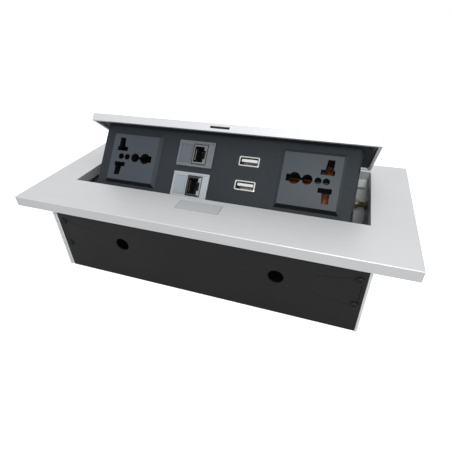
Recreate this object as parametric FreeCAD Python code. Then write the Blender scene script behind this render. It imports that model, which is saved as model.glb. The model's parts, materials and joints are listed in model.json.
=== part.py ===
import FreeCAD, Part
import math
import os

# Flip-up desk socket box, in millimetres, shown with its lid open.
# Origin: middle of the underside below the bezel's centre.
# +X runs along the bezel, +Y to the hinge side, +Z up.
# The flip-up unit is drawn closed, with its lid flush in the bezel, and then turned open about the hinge.

V = FreeCAD.Vector

# Bezel
BEZEL_LENGTH = 255.4
BEZEL_DEPTH = 120.0
BEZEL_HEIGHT = 6.9
BEZEL_SKIN = 2.0
BEZEL_RIM_WALL = 2.5
BEZEL_EDGE_RADIUS = 0.5
APERTURE_EDGE_RADIUS = 0.3
SIDE_BORDER = 24.95
FRONT_BORDER = 33.8
REAR_BORDER = 13.4
LIP_WALL = 2.0
LEDGE_REACH = 2.5
LEDGE_LENGTH = 16.0
LEDGE_SPREAD = 60.0
STUD_RADIUS = 1.5
STUD_LENGTH = 4.2
STUD_OFFSET = 5.5
STUD_HOLE_GAP = 0.2

# Housing below the bezel
HOUSING_HEIGHT = 56.5
HOUSING_SIDE_SETBACK = 19.35
HOUSING_FRONT_SETBACK = 9.3
HOUSING_REAR_SETBACK = 5.0
SHEET = 1.2
END_SHEET = 1.5
FLANGE_WIDTH = 10.0
RETURN_DROP = 6.7
COVER_BOTTOM_REVEAL = 0.6
COVER_SIDE_GAP = 0.2
CABLE_HOLE_RADIUS = 4.9
CABLE_HOLE_SPREAD = 54.5
CABLE_HOLE_DEPTH = 31.9
COVER_SCREW_INSET = 4.1
COVER_SCREW_DEPTHS = (21.3, 40.7)
FIXING_HOLE_RADIUS = 2.25
FIXING_HOLE_SPACING = 60.0
FIXING_HOLE_DEPTH = 17.0
EARTH_STUD_RADIUS = 2.0
EARTH_STUD_REACH = (6.0, 2.6)
EARTH_HEIGHT_SHARE = 0.6
RIVET_RADIUS = 1.6
RIVET_HEAD_RADIUS = 3.2
RIVET_HEAD_HEIGHT = 0.96
FASTENER_INSETS = (14.7, 15.0)

# Machine screws
SCREW_RADIUS = 1.45
SCREW_HOLE_RADIUS = 1.6
SCREW_HEAD_RADIUS = 2.4
SCREW_HEAD_HEIGHT = 1.2
SCREW_RECESS_RADIUS = 1.1
SCREW_RECESS_DEPTH = 0.66
SCREW_CROWN_RADIUS = 0.6
NUT_RADIUS = 3.1
NUT_HEIGHT = 2.2
THIN_NUT_HEIGHT = 1.54
PIVOT_NUT_RADIUS = 3.5
THREAD_CLEARANCE = 0.04

# Hinge
HINGE_FROM_REAR_EDGE = 13.9
HINGE_DEPTH = 28.0
LID_OPEN_ANGLE = 39.7
PIVOT_RADIUS = 2.0
PIVOT_CLEARANCE = 0.05
BUSH_WALL = 1.2
BUSH_FLANGE = 0.8
EYE_RADIUS = 7.0
PIVOT_SPACER_LENGTH = 5.0
PIVOT_SPACER_RADIUS = 3.3
STOP_GAP = 0.3

# Torsion springs
SPRING_WIRE_RADIUS = 0.6
SPRING_COIL_RADIUS = 3.6
SPRING_TURNS = 4
SPRING_PITCH = 1.7
SPRING_GAP = 0.4
SPRING_DROP = 15.0
SPRING_FRONT_LEG = 14.0
SPRING_TAB_FROM_HINGE = 12.0
SPRING_TAB = (4.0, 4.0)
PIVOT_HEAD_RADIUS = 3.8
PIVOT_HEAD_HEIGHT = 2.0
PIVOT_RECESS_RADIUS = 1.6
PIVOT_RECESS_DEPTH = 1.2
THREAD_PAST_NUT = 2.2

# Lid
LID_GAP = 0.5
LID_SIDE_GAP = 0.3
LID_HEIGHT = 5.6
LID_SKIN = 1.5
LID_RIM_WALL = 2.0
LID_EDGE_RADIUS = 0.4
LATCH_SLOT_LENGTH = 14.0
LATCH_SLOT_HEIGHT = 1.5
LATCH_SLOT_DEPTH = 2.8
LATCH_SLOT_CORNER = 0.3
LATCH_RAMP = (0.6, 1.6)
CARRIER_RECESS = 1.2
CARRIER_GAP = 0.4
BOSS_RADIUS = 2.8
BOSS_GAP = 0.6
LID_SCREW_INSET = 3.7
THREAD_REACH = 1.0
THREAD_END_GAP = 0.2
LID_SCREW_FROM_CHEEK = 6.0

# Flip-up unit; it and the sunken box lie off the bezel's middle by the offset
UNIT_OFFSET = -1.05
PANEL_END_SETBACK = 9.65
PANEL_SETBACK = 10.5
PANEL_SHEET = 1.5
PANEL_BOTTOM_DEPTH = 55.3
UNIT_BACK_FROM_HINGE = 22.4
CHEEK_SHEET = 1.2
CHEEK_GAP = 0.1
CHEEK_FRONT_SETBACK = 6.0
FOOT_DEPTH = 50.7
FOOT_PROUD = 0.7
FOOT_RISE = 4.5
ARM_ANGLE = 232.0
PANEL_FLANGE = 10.0
PANEL_FLANGE_RELIEF = 3.0
TRAY_RELIEF = 4.0
TRAY_TAB = (16.0, 9.0)
CHEEK_SCREW_FROM_EDGE = 12.0
TRAY_SCREW_INSETS = (9.0, 5.0)
GROMMET_RADIUS = 8.0
GROMMET_SPREAD = 40.0
GROMMET_HEIGHT = 16.0
GROMMET_LIP = 1.5
GROMMET_WALL = 2.0
GROMMET_GAP = 0.05

# Mains socket module
SOCKET_INSET = 28.1
SOCKET_DEPTH = 28.6
SOCKET_FACE_DROP = 0.4
SOCKET_OUTER = (41.6, 39.6)
SOCKET_FACE = (37.4, 34.8)
SOCKET_PROUD = 2.6
SOCKET_SPIGOT = (38.0, 36.0)
SOCKET_BODY = (36.0, 34.0)
SOCKET_BODY_LENGTH = 16.0
SOCKET_CORNER = 1.5
PIN_LINE = 10.1
STEM_OFFSET = 1.0
STEM_WIDTH = 4.7
STEM_SLANT = 0.45
CROSSBAR_WIDTH = 8.7
CROSSBAR_HEIGHT = 3.2
SLOT_INNER = 4.3
SLOT_OUTER = 14.2
SMALL_HOLE_RADIUS = 2.2
SMALL_HOLE_OFFSETS = (10.1, 5.0)
GROUND_HOLE_RADIUS = 3.3
GROUND_OFFSET = -1.8
EARTH_HOLE_RADIUS = 3.9
EARTH_OFFSET = -10.0
EARTH_SLOT_END = -15.4
EARTH_SLOT_HEIGHT = 4.7
CONTACT_SHEET = 0.5
CONTACT_GAP = 3.4
CONTACT_SETBACK = 5.5
SPIGOT_REACH = 1.0
SPIGOT_RADIUS = 0.05
MODULE_GAP = 0.1
EARTH_LINK_HEIGHT = 1.8
CHAMBER_GAP = (0.6, 0.5)
CHAMBER_MEETING = 0.1
EARTH_CHAMBER_GAP = (0.4, 0.3, 0.2)
BODY_BACK_WALL = 2.0
SMALL_HOLE_DEPTH = 8.0
CLIP_GAP = 1.0
TERMINAL_REACH = 1.9

# Data port modules
DATA_DEPTHS = (20.0, 43.0)
DATA_FRAME = (27.2, 18.7)
DATA_PROUD = 1.4
DATA_SPIGOT = (25.6, 17.2)
DATA_BORDER = 1.3
DATA_RECESS = 0.5
LABEL_OFFSET = -7.6
LABEL_SIZE = (8.4, 13.4)
LABEL_RECESS = 0.5
LABEL_THICKNESS = 0.6
JACK_OFFSET = 2.95
JACK_OUTER = (10.1, 13.7)
JACK_OPENING = (7.0, 11.2)
JACK_NOTCH = (1.4, 6.0)
JACK_LENGTH = 17.0
JACK_CAVITY = 13.0
JACK_GAP = 0.15
JACK_WINDOW_GAP = 0.55
JACK_WIRES = 8
JACK_WIRE_PITCH = 1.02
JACK_WIRE_THICKNESS = 0.45
JACK_WIRE_SETBACK = 2.0
JACK_WIRE_REACH = 1.9
DATA_CORNER = 0.6
DATA_EDGE = 0.3
DATA_SPIGOT_REACH = 0.6
LABEL_GAP = 0.1

# USB ports
USB_DEPTHS = (20.9, 37.7)
USB_OUTER = (14.4, 6.8)
USB_TUBE = (13.2, 5.7)
USB_WALL = 0.35
USB_LIP = 0.5
USB_LENGTH = 14.0
USB_TONGUE = (11.2, 1.9)
USB_TONGUE_LIFT = 0.8
USB_TONGUE_SETBACK = 0.6
USB_BLOCK_LENGTH = 3.0
USB_BLOCK_GAP = (0.45, 0.35)
USB_CORNERS = (1.1, 0.6, 0.4)
BOARD_SIZE = (24.0, 34.0)
BOARD_THICKNESS = 1.6
CONVERTER_FACE = (16.0, 18.0)
CONVERTER_THICKNESS = 2.6
CONVERTER_CORNER = 1.0

# Push button and latch
BUTTON_LENGTH = 29.0
BUTTON_DEPTH = 9.7
BUTTON_FROM_FRONT = 18.9
BUTTON_GAP = 0.25
BUTTON_THICKNESS = 3.0
BUTTON_EAR = 1.3
BUTTON_EAR_INSET = 1.0
BUTTON_EAR_GAP = 0.05
BUTTON_LEG_DEPTH = 4.0
BUTTON_LEG_GAP = 0.2
BUTTON_TRAVEL = 2.0
LATCH_TRAVEL = 1.5
LATCH_SHEET = 1.2
LATCH_WIDTH = 13.0
LATCH_REACH = 1.3
LATCH_FLOOR_DEPTH = 9.2
WEDGE_HEIGHT = 4.2
WEDGE_BACK = 1.85
WEDGE_WIDTH = 8.0
WEDGE_GAP = 0.15
WEDGE_TOE_SETBACK = 2.6
LATCH_TIP_BEVEL = 0.4
GUIDE_WALL = 1.6
GUIDE_HALF_LENGTH = 18.5
GUIDE_CLEARANCE = 0.25
GUIDE_EAR = 8.0
GUIDE_EAR_SHEET = 2.0
GUIDE_EAR_DROP = 2.2
GUIDE_SEAT_GAP = 0.05
GUIDE_RIB = 1.0
GUIDE_SCREW_LENGTH = 4.0
LATCH_SPRING_RADIUS = 1.8
LATCH_SPRING_WIRE = 0.25
LATCH_SPRING_TURNS = 4

# Free length between the sockets and the ports, as a share of all of it
PORT_GAP_SHARE = 0.3013

# Jumper wires between the sockets
WIRE_RADIUS = 1.3
WIRE_BEND = 5.0
WIRE_REACH = 5.5

# Overshoot of cutting shapes past the faces that they open, and tolerance in choosing edges
OVERCUT = 0.1
EDGE_TOLERANCE = 0.01

# Places that follow from the sizes above
TOP = HOUSING_HEIGHT + BEZEL_HEIGHT
BEZEL_FRONT = -BEZEL_DEPTH / 2
BEZEL_REAR = BEZEL_DEPTH / 2
APERTURE_FRONT = BEZEL_FRONT + FRONT_BORDER
APERTURE_REAR = BEZEL_REAR - REAR_BORDER
APERTURE_SIDE = BEZEL_LENGTH / 2 - SIDE_BORDER
HOUSING_SIDE = BEZEL_LENGTH / 2 - HOUSING_SIDE_SETBACK
HOUSING_FRONT = BEZEL_FRONT + HOUSING_FRONT_SETBACK
HOUSING_REAR = BEZEL_REAR - HOUSING_REAR_SETBACK
FIRST_ROW = HOUSING_FRONT + FASTENER_INSETS[0]
LAST_ROW = HOUSING_REAR - FASTENER_INSETS[1]
FASTENER_ROWS = (FIRST_ROW, (FIRST_ROW + LAST_ROW) / 2, LAST_ROW)
INNER_SIDE = HOUSING_SIDE - END_SHEET
COVER_SIDE = INNER_SIDE + UNIT_OFFSET - COVER_SIDE_GAP
COVER_SCREW_SIDE = COVER_SIDE + COVER_SIDE_GAP - COVER_SCREW_INSET
SKIN_UNDERSIDE = TOP - BEZEL_SKIN
HINGE_Y = BEZEL_REAR - HINGE_FROM_REAR_EDGE
HINGE_Z = TOP - HINGE_DEPTH
LID_SIDE = APERTURE_SIDE - LID_SIDE_GAP
LID_FRONT = APERTURE_FRONT + LID_GAP
LID_BOTTOM = TOP - LID_HEIGHT
OPEN_COS = math.cos(math.radians(LID_OPEN_ANGLE))
OPEN_SIN = math.sin(math.radians(LID_OPEN_ANGLE))
LID_REAR = HINGE_Y + (APERTURE_REAR - STOP_GAP - HINGE_Y - (LID_BOTTOM - HINGE_Z) * OPEN_SIN) / OPEN_COS
CARRIER_BOTTOM = LID_BOTTOM + CARRIER_RECESS
CARRIER_TOP = CARRIER_BOTTOM + SHEET
PANEL_FRONT = LID_FRONT + PANEL_SETBACK
PANEL_BACK = PANEL_FRONT + PANEL_SHEET
PANEL_SIDE = APERTURE_SIDE - PANEL_END_SETBACK
PANEL_BOTTOM = TOP - PANEL_BOTTOM_DEPTH
CHEEK_INNER = PANEL_SIDE + CHEEK_GAP
CHEEK_OUTER = CHEEK_INNER + CHEEK_SHEET
UNIT_BACK = HINGE_Y - UNIT_BACK_FROM_HINGE
CHEEK_REAR = LID_REAR - LID_RIM_WALL - CARRIER_GAP
FLANGE_START = PANEL_BACK + PANEL_FLANGE
FLANGE_END = CHEEK_REAR - LID_RIM_WALL
UNIT_BOTTOM = PANEL_BOTTOM - SHEET
FRONT_GAP_FLOOR = HOUSING_FRONT + SHEET
SOCKET_RIGHT_X = PANEL_SIDE - SOCKET_INSET
SOCKET_LEFT_X = -SOCKET_RIGHT_X
PORT_ROOM = SOCKET_RIGHT_X - SOCKET_LEFT_X - SOCKET_OUTER[0] - DATA_FRAME[0] - USB_OUTER[0]
DATA_X = SOCKET_LEFT_X + (SOCKET_OUTER[0] + DATA_FRAME[0]) / 2 + PORT_ROOM * PORT_GAP_SHARE
USB_X = SOCKET_RIGHT_X - (SOCKET_OUTER[0] + USB_OUTER[0]) / 2 - PORT_ROOM * PORT_GAP_SHARE
BUTTON_FRONT = BEZEL_FRONT + BUTTON_FROM_FRONT
BUTTON_REAR = BUTTON_FRONT + BUTTON_DEPTH


def box(x0, x1, y0, y1, z0, z1):
    """Box between two opposite corners."""
    return Part.makeBox(x1 - x0, y1 - y0, z1 - z0, V(x0, y0, z0))


def rounded_box(x0, x1, y0, y1, z0, z1, radius, axis):
    """Box with the four edges along one axis rounded."""
    shape = box(x0, x1, y0, y1, z0, z1)
    edges = []
    for edge in shape.Edges:
        along = edge.Vertexes[1].Point - edge.Vertexes[0].Point
        if abs(along.normalize().dot(axis)) > 0.9:
            edges.append(edge)
    return shape.makeFillet(radius, edges)


def rod(radius, x0, x1, y, z):
    """Round bar along X."""
    return Part.makeCylinder(radius, x1 - x0, V(x0, y, z), V(1, 0, 0))


def hole_x(radius, x0, x1, y, z):
    """Drill along X that runs past both faces."""
    return rod(radius, x0 - OVERCUT, x1 + OVERCUT, y, z)


def rod_y(radius, x, y0, y1, z):
    """Round bar along Y."""
    return Part.makeCylinder(radius, y1 - y0, V(x, y0, z), V(0, 1, 0))


def hole_y(radius, x, y0, y1, z):
    """Drill along Y that runs past both faces."""
    return rod_y(radius, x, y0 - OVERCUT, y1 + OVERCUT, z)


def rod_z(radius, x, y, z0, z1):
    """Round bar along Z."""
    return Part.makeCylinder(radius, z1 - z0, V(x, y, z0), V(0, 0, 1))


def hole_z(radius, x, y, z0, z1):
    """Drill along Z that runs past both faces."""
    return rod_z(radius, x, y, z0 - OVERCUT, z1 + OVERCUT)


def block(x, z, size, y0, y1):
    """Block of a given width and height about (x, z)."""
    return box(x - size[0] / 2, x + size[0] / 2, y0, y1, z - size[1] / 2, z + size[1] / 2)


def rounded_block(x, z, size, y0, y1, radius):
    """Block about (x, z) with its four edges along Y rounded."""
    half_x, half_z = size[0] / 2, size[1] / 2
    return rounded_box(x - half_x, x + half_x, y0, y1, z - half_z, z + half_z, radius, V(0, 1, 0))


def grown(size, gap):
    """Width and height with a gap added all round."""
    return size[0] + 2 * gap, size[1] + 2 * gap


def prism_x(points, x0, x1):
    """Prism along X over an outline given as (y, z) points."""
    corners = [V(x0, y, z) for y, z in points]
    face = Part.Face(Part.makePolygon(corners + corners[:1]))
    return face.extrude(V(x1 - x0, 0, 0))


def prism_y(points, y0, y1):
    """Prism along Y over an outline given as (x, z) points."""
    corners = [V(x, y0, z) for x, z in points]
    return Part.Face(Part.makePolygon(corners + corners[:1])).extrude(V(0, y1 - y0, 0))


def prism_z(points, z0, z1):
    """Prism along Z over an outline given as (x, y) points."""
    corners = [V(x, y, z0) for x, y in points]
    return Part.Face(Part.makePolygon(corners + corners[:1])).extrude(V(0, 0, z1 - z0))


def hexagon(radius, start, axis, length):
    """Hexagonal prism; radius is half its width across flats."""
    reach = radius / math.cos(math.pi / 6)
    across = V(0, 0, 1) if abs(axis.z) < 0.5 else V(1, 0, 0)
    other = axis.cross(across)
    corners = []
    for step in range(7):
        turn = math.radians(60 * step)
        corners.append(start + across * (reach * math.cos(turn)) + other * (reach * math.sin(turn)))
    return Part.Face(Part.makePolygon(corners)).extrude(axis * length)


def fuse(shapes):
    """One solid from several that touch."""
    shapes = list(shapes)
    return shapes[0].fuse(shapes[1:]).removeSplitter()


def cut(shape, tools):
    """Shape less all the tools."""
    return shape.cut(list(tools))


def mirrored(shape):
    """Copy on the other side of the middle plane x = 0."""
    return shape.mirror(V(0, 0, 0), V(1, 0, 0))


def opened(shape):
    """Shape of the flip-up unit, turned from closed to open about the hinge."""
    return shape.rotated(V(0, HINGE_Y, HINGE_Z), V(1, 0, 0), -LID_OPEN_ANGLE)


def moved(shape, move):
    """Shape, or each shape of a list, after the given move."""
    if isinstance(shape, list):
        return [move(piece) for piece in shape]
    return move(shape)


def shifted(shape):
    """Shape of the sunken box, the flip-up unit or the hinge, moved to its place under the bezel."""
    return shape.translated(V(UNIT_OFFSET, 0, 0))


def closed_place(y, z):
    """Closed (y, z) place of a point that is given in the open position."""
    dy = y - HINGE_Y
    dz = z - HINGE_Z
    return HINGE_Y + dy * OPEN_COS - dz * OPEN_SIN, HINGE_Z + dy * OPEN_SIN + dz * OPEN_COS


def pan_screw(tip, direction, length):
    """Screw with a low round head; tip is the shank's end, direction points from the tip to the head."""
    shank = Part.makeCylinder(SCREW_RADIUS, length, tip, direction)
    seat = tip + direction * length
    head = Part.makeCylinder(SCREW_HEAD_RADIUS, SCREW_HEAD_HEIGHT, seat, direction)
    crown_height = SCREW_HEAD_HEIGHT - EDGE_TOLERANCE
    crown = [e for e in head.Edges if (e.CenterOfMass - seat).dot(direction) > crown_height]
    head = head.makeFillet(SCREW_CROWN_RADIUS, crown[:1])
    recess_start = seat + direction * (SCREW_HEAD_HEIGHT - SCREW_RECESS_DEPTH)
    recess = hexagon(SCREW_RECESS_RADIUS, recess_start, direction, SCREW_HEAD_HEIGHT)
    return cut(shank.fuse(head), [recess]).removeSplitter()


def arc_through(start, corner, end):
    """Arc from start to end, tangent at both to the lines through the corner."""
    middle = (start + end) * 0.5
    rise = corner - middle
    half_chord = (end - start).Length / 2
    half_turn = math.atan2(rise.Length, half_chord)
    crown = middle + rise.normalize() * (half_chord * math.tan(half_turn / 2))
    return Part.Arc(start, crown, end).toShape()


def coil_edges(centre, axis, across, radius, pitch, turns):
    """Helix as pairs of tangent arcs, four pairs a turn, with its end points and end tangents."""
    other = axis.cross(across)
    steps = int(math.ceil(turns * 4))
    points = []
    tangents = []
    for step in range(steps + 1):
        share = turns * step / steps
        turn = 2 * math.pi * share
        out = across * math.cos(turn) + other * math.sin(turn)
        points.append(centre + out * radius + axis * (pitch * share))
        along = (other * math.cos(turn) - across * math.sin(turn)) * radius + axis * (pitch / (2 * math.pi))
        tangents.append(along.normalize())
    edges = []
    for step in range(steps):
        start, end = points[step], points[step + 1]
        first, last = tangents[step], tangents[step + 1]
        chord = end - start
        a = 2 * (1 - first.dot(last))
        b = 2 * chord.dot(first + last)
        reach = (-b + math.sqrt(b * b + 4 * a * chord.dot(chord))) / (2 * a)
        corner_one = start + first * reach
        corner_two = end - last * reach
        joint = (corner_one + corner_two) * 0.5
        edges.append(arc_through(start, corner_one, joint))
        edges.append(arc_through(joint, corner_two, end))
    return edges, (points[0], points[-1]), (tangents[0], tangents[-1])


def wire_solid(edges, radius, start, tangent):
    """Round wire swept along joined edges."""
    path = Part.Wire(edges)
    section = Part.Wire([Part.Circle(start, tangent, radius).toShape()])
    sweep = Part.BRepOffsetAPI.MakePipeShell(path)
    sweep.add(section)
    sweep.build()
    sweep.makeSolid()
    return sweep.shape()


def bezel_frame():
    """Hollow satin frame: skin, outer rim, lip round the aperture, ledges and welded studs."""
    side = BEZEL_LENGTH / 2
    seat = HOUSING_HEIGHT
    shell = box(-side, side, BEZEL_FRONT, BEZEL_REAR, seat, TOP)
    shell = shell.makeFillet(BEZEL_EDGE_RADIUS, upright_and_top_edges(shell, BEZEL_HEIGHT))
    channel = box(-side + BEZEL_RIM_WALL, side - BEZEL_RIM_WALL, BEZEL_FRONT + BEZEL_RIM_WALL,
                  BEZEL_REAR - BEZEL_RIM_WALL, seat, SKIN_UNDERSIDE)
    lip = box(-APERTURE_SIDE - LIP_WALL, APERTURE_SIDE + LIP_WALL, APERTURE_FRONT - LIP_WALL,
              APERTURE_REAR + LIP_WALL, seat, SKIN_UNDERSIDE)
    hole = box(-APERTURE_SIDE, APERTURE_SIDE, APERTURE_FRONT, APERTURE_REAR, seat, TOP)
    frame = cut(shell, [cut(channel, [lip]), hole])
    rim_edges = []
    for edge in frame.Edges:
        reach = edge.BoundBox
        behind_front = reach.YMin > APERTURE_FRONT - EDGE_TOLERANCE
        before_rear = reach.YMax < APERTURE_REAR + EDGE_TOLERANCE
        within_sides = abs(reach.XMin) < APERTURE_SIDE + EDGE_TOLERANCE
        if reach.ZMin > TOP - EDGE_TOLERANCE and behind_front and before_rear and within_sides:
            rim_edges.append(edge)
    frame = frame.makeFillet(APERTURE_EDGE_RADIUS, rim_edges)
    additions = []
    ledge_top = LID_BOTTOM - STOP_GAP
    for x in (-LEDGE_SPREAD, LEDGE_SPREAD):
        additions.append(box(x - LEDGE_LENGTH / 2, x + LEDGE_LENGTH / 2, APERTURE_FRONT - LIP_WALL / 2,
                             APERTURE_FRONT + LEDGE_REACH, seat, ledge_top))
    for side_sign in (-1, 1):
        for y in FASTENER_ROWS:
            x = side_sign * (HOUSING_SIDE + STUD_OFFSET) + UNIT_OFFSET
            additions.append(rod_z(STUD_RADIUS, x, y, SKIN_UNDERSIDE - STUD_LENGTH, SKIN_UNDERSIDE))
    for side_sign in (-1, 1):
        additions.append(rod_z(BOSS_RADIUS, guide_screw_x(side_sign), guide_screw_y(),
                               guide_ear_top(), SKIN_UNDERSIDE))
    frame = fuse([frame] + additions)
    button_hole = rounded_box(-BUTTON_LENGTH / 2 - BUTTON_GAP, BUTTON_LENGTH / 2 + BUTTON_GAP,
                              BUTTON_FRONT - BUTTON_GAP, BUTTON_REAR + BUTTON_GAP,
                              SKIN_UNDERSIDE - OVERCUT, TOP + OVERCUT, BEZEL_EDGE_RADIUS, V(0, 0, 1))
    latch_z = TOP - LATCH_SLOT_DEPTH
    latch_slot = box(-LATCH_WIDTH / 2 - GUIDE_CLEARANCE, LATCH_WIDTH / 2 + GUIDE_CLEARANCE,
                     APERTURE_FRONT - LIP_WALL - OVERCUT, APERTURE_FRONT + OVERCUT,
                     latch_z - LATCH_SHEET / 2 - GUIDE_CLEARANCE, SKIN_UNDERSIDE)
    thread_start = guide_ear_top() - OVERCUT
    threads = [rod_z(SCREW_RADIUS, guide_screw_x(s), guide_screw_y(), thread_start, SKIN_UNDERSIDE)
               for s in (-1, 1)]
    return cut(frame, [button_hole, latch_slot] + threads)


def upright_and_top_edges(shape, height):
    """Edges of a plate with its top at TOP that lie in that top or run down from it."""
    top = TOP - EDGE_TOLERANCE
    return [e for e in shape.Edges if e.BoundBox.ZMin > top or e.BoundBox.ZLength > height / 2]


def guide_ear_top():
    """Height of the button guide's ears, below the bezel's skin."""
    return SKIN_UNDERSIDE - GUIDE_EAR_DROP


def guide_screw_x(side_sign):
    """X of a button guide screw."""
    return side_sign * (GUIDE_HALF_LENGTH + GUIDE_EAR / 2)


def guide_screw_y():
    """Y of both button guide screws."""
    return (BUTTON_FRONT + BUTTON_REAR) / 2


def base_tray():
    """Galvanised floor and rear wall, with the wall's top folded forward and down."""
    lip_front = APERTURE_REAR
    floor = box(-INNER_SIDE, INNER_SIDE, FRONT_GAP_FLOOR, HOUSING_REAR, 0, SHEET)
    wall = box(-INNER_SIDE, INNER_SIDE, HOUSING_REAR - SHEET, HOUSING_REAR, 0, HOUSING_HEIGHT)
    fold = box(-APERTURE_SIDE, APERTURE_SIDE, lip_front, HOUSING_REAR,
               HOUSING_HEIGHT - SHEET, HOUSING_HEIGHT)
    drop = box(-APERTURE_SIDE, APERTURE_SIDE, lip_front, lip_front + SHEET,
               HOUSING_HEIGHT - RETURN_DROP, HOUSING_HEIGHT)
    tray = fuse([floor, wall, fold, drop])
    holes = []
    for side_sign in (-1, 1):
        for y in FASTENER_ROWS:
            holes.append(hole_z(RIVET_RADIUS, side_sign * (INNER_SIDE - FLANGE_WIDTH / 2), y, 0, SHEET))
    holes.append(hole_y(EARTH_STUD_RADIUS, earth_x(), HOUSING_REAR - SHEET, HOUSING_REAR, earth_z()))
    return cut(tray, holes)


def earth_x():
    """X of the earth stud on the rear wall."""
    return -CABLE_HOLE_SPREAD


def earth_z():
    """Height of the earth stud on the rear wall."""
    return HOUSING_HEIGHT * EARTH_HEIGHT_SHARE


def end_plate(side_sign):
    """Galvanised end wall with bottom, front and top flanges, drawn on the right for either side."""
    wall = box(INNER_SIDE, HOUSING_SIDE, HOUSING_FRONT, HOUSING_REAR, 0, SKIN_UNDERSIDE)
    bottom = box(INNER_SIDE - FLANGE_WIDTH, INNER_SIDE, FRONT_GAP_FLOOR + END_SHEET,
                 HOUSING_REAR - SHEET, SHEET, SHEET + END_SHEET)
    front = box(INNER_SIDE - FLANGE_WIDTH, INNER_SIDE, FRONT_GAP_FLOOR, FRONT_GAP_FLOOR + END_SHEET,
                SHEET, HOUSING_HEIGHT)
    top = box(HOUSING_SIDE, HOUSING_SIDE + FLANGE_WIDTH, FASTENER_ROWS[0] - FLANGE_WIDTH / 2,
              FASTENER_ROWS[-1] + FLANGE_WIDTH / 2, SKIN_UNDERSIDE - END_SHEET, SKIN_UNDERSIDE)
    plate = fuse([wall, bottom, front, top])
    holes = []
    for y in FASTENER_ROWS:
        holes.append(hole_z(RIVET_RADIUS, INNER_SIDE - FLANGE_WIDTH / 2, y, SHEET, SHEET + END_SHEET))
        holes.append(hole_z(STUD_RADIUS + STUD_HOLE_GAP, HOUSING_SIDE + STUD_OFFSET, y,
                            SKIN_UNDERSIDE - END_SHEET, SKIN_UNDERSIDE))
    for depth in COVER_SCREW_DEPTHS:
        holes.append(hole_y(SCREW_RADIUS + THREAD_CLEARANCE, COVER_SCREW_SIDE - side_sign * UNIT_OFFSET,
                            FRONT_GAP_FLOOR, FRONT_GAP_FLOOR + END_SHEET, TOP - depth))
    for y in (-FIXING_HOLE_SPACING / 2, FIXING_HOLE_SPACING / 2):
        holes.append(hole_x(FIXING_HOLE_RADIUS, INNER_SIDE, HOUSING_SIDE, y, TOP - FIXING_HOLE_DEPTH))
    holes.append(hole_x(PIVOT_RADIUS + THREAD_CLEARANCE, INNER_SIDE, HOUSING_SIDE, HINGE_Y, HINGE_Z))
    return cut(plate, holes)


def front_cover():
    """Black front sheet with two cable holes and four screw holes."""
    cover = box(-COVER_SIDE, COVER_SIDE, HOUSING_FRONT, HOUSING_FRONT + SHEET,
                COVER_BOTTOM_REVEAL, HOUSING_HEIGHT)
    tools = []
    for x in (-CABLE_HOLE_SPREAD, CABLE_HOLE_SPREAD):
        z = TOP - CABLE_HOLE_DEPTH
        tools.append(hole_y(CABLE_HOLE_RADIUS, x, HOUSING_FRONT, HOUSING_FRONT + SHEET, z))
    for x, z in cover_screw_places():
        tools.append(hole_y(SCREW_HOLE_RADIUS, x, HOUSING_FRONT, HOUSING_FRONT + SHEET, z))
    return cut(cover, tools)


def cover_screw_places():
    """(x, z) of the four front cover screws."""
    return [(x, TOP - depth) for x in (-COVER_SCREW_SIDE, COVER_SCREW_SIDE) for depth in COVER_SCREW_DEPTHS]


def cover_screws():
    """Four small screws through the front cover into the end plates."""
    length = SHEET + END_SHEET + THREAD_REACH
    return [pan_screw(V(x, HOUSING_FRONT + length, z), V(0, -1, 0), length) for x, z in cover_screw_places()]


def bezel_nuts():
    """Nuts on the bezel's studs, under the end plates' top flanges."""
    nuts = []
    for side_sign in (-1, 1):
        for y in FASTENER_ROWS:
            x = side_sign * (HOUSING_SIDE + STUD_OFFSET)
            seat = SKIN_UNDERSIDE - END_SHEET
            nut = hexagon(NUT_RADIUS, V(x, y, seat - NUT_HEIGHT), V(0, 0, 1), NUT_HEIGHT)
            bore = hole_z(STUD_RADIUS + THREAD_CLEARANCE, x, y, seat - NUT_HEIGHT, seat)
            nuts.append(cut(nut, [bore]))
    return nuts


def tray_rivets():
    """Rivets from the floor into the end plates' bottom flanges, flush below."""
    rivets = []
    for side_sign in (-1, 1):
        for y in FASTENER_ROWS:
            x = side_sign * (INNER_SIDE - FLANGE_WIDTH / 2)
            top = SHEET + END_SHEET
            shank = rod_z(RIVET_RADIUS - THREAD_CLEARANCE, x, y, 0, top)
            head = rod_z(RIVET_HEAD_RADIUS, x, y, top, top + RIVET_HEAD_HEIGHT)
            rivets.append(fuse([shank, head]))
    return rivets


def earth_stud():
    """Earthing stud through the rear wall, with a nut on each side."""
    x = earth_x()
    z = earth_z()
    wall = HOUSING_REAR - SHEET
    stud = rod_y(EARTH_STUD_RADIUS - THREAD_CLEARANCE, x, wall - EARTH_STUD_REACH[0],
                 HOUSING_REAR + EARTH_STUD_REACH[1], z)
    front = hexagon(PIVOT_NUT_RADIUS, V(x, wall - NUT_HEIGHT, z), V(0, 1, 0), NUT_HEIGHT)
    back = hexagon(PIVOT_NUT_RADIUS, V(x, HOUSING_REAR, z), V(0, 1, 0), NUT_HEIGHT)
    return fuse([stud, front, back])


def pivot_screw():
    """Right-hand hinge screw: head inside the cheek, shank out through the bush to the end plate."""
    head_end = pivot_head_x()
    shank = rod(PIVOT_RADIUS, head_end, HOUSING_SIDE + NUT_HEIGHT + THREAD_PAST_NUT, HINGE_Y, HINGE_Z)
    head = rod(PIVOT_HEAD_RADIUS, head_end - PIVOT_HEAD_HEIGHT, head_end, HINGE_Y, HINGE_Z)
    recess_start = V(head_end - PIVOT_HEAD_HEIGHT - OVERCUT, HINGE_Y, HINGE_Z)
    recess = hexagon(PIVOT_RECESS_RADIUS, recess_start, V(1, 0, 0), PIVOT_RECESS_DEPTH + OVERCUT)
    return cut(fuse([shank, head]), [recess])


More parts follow.
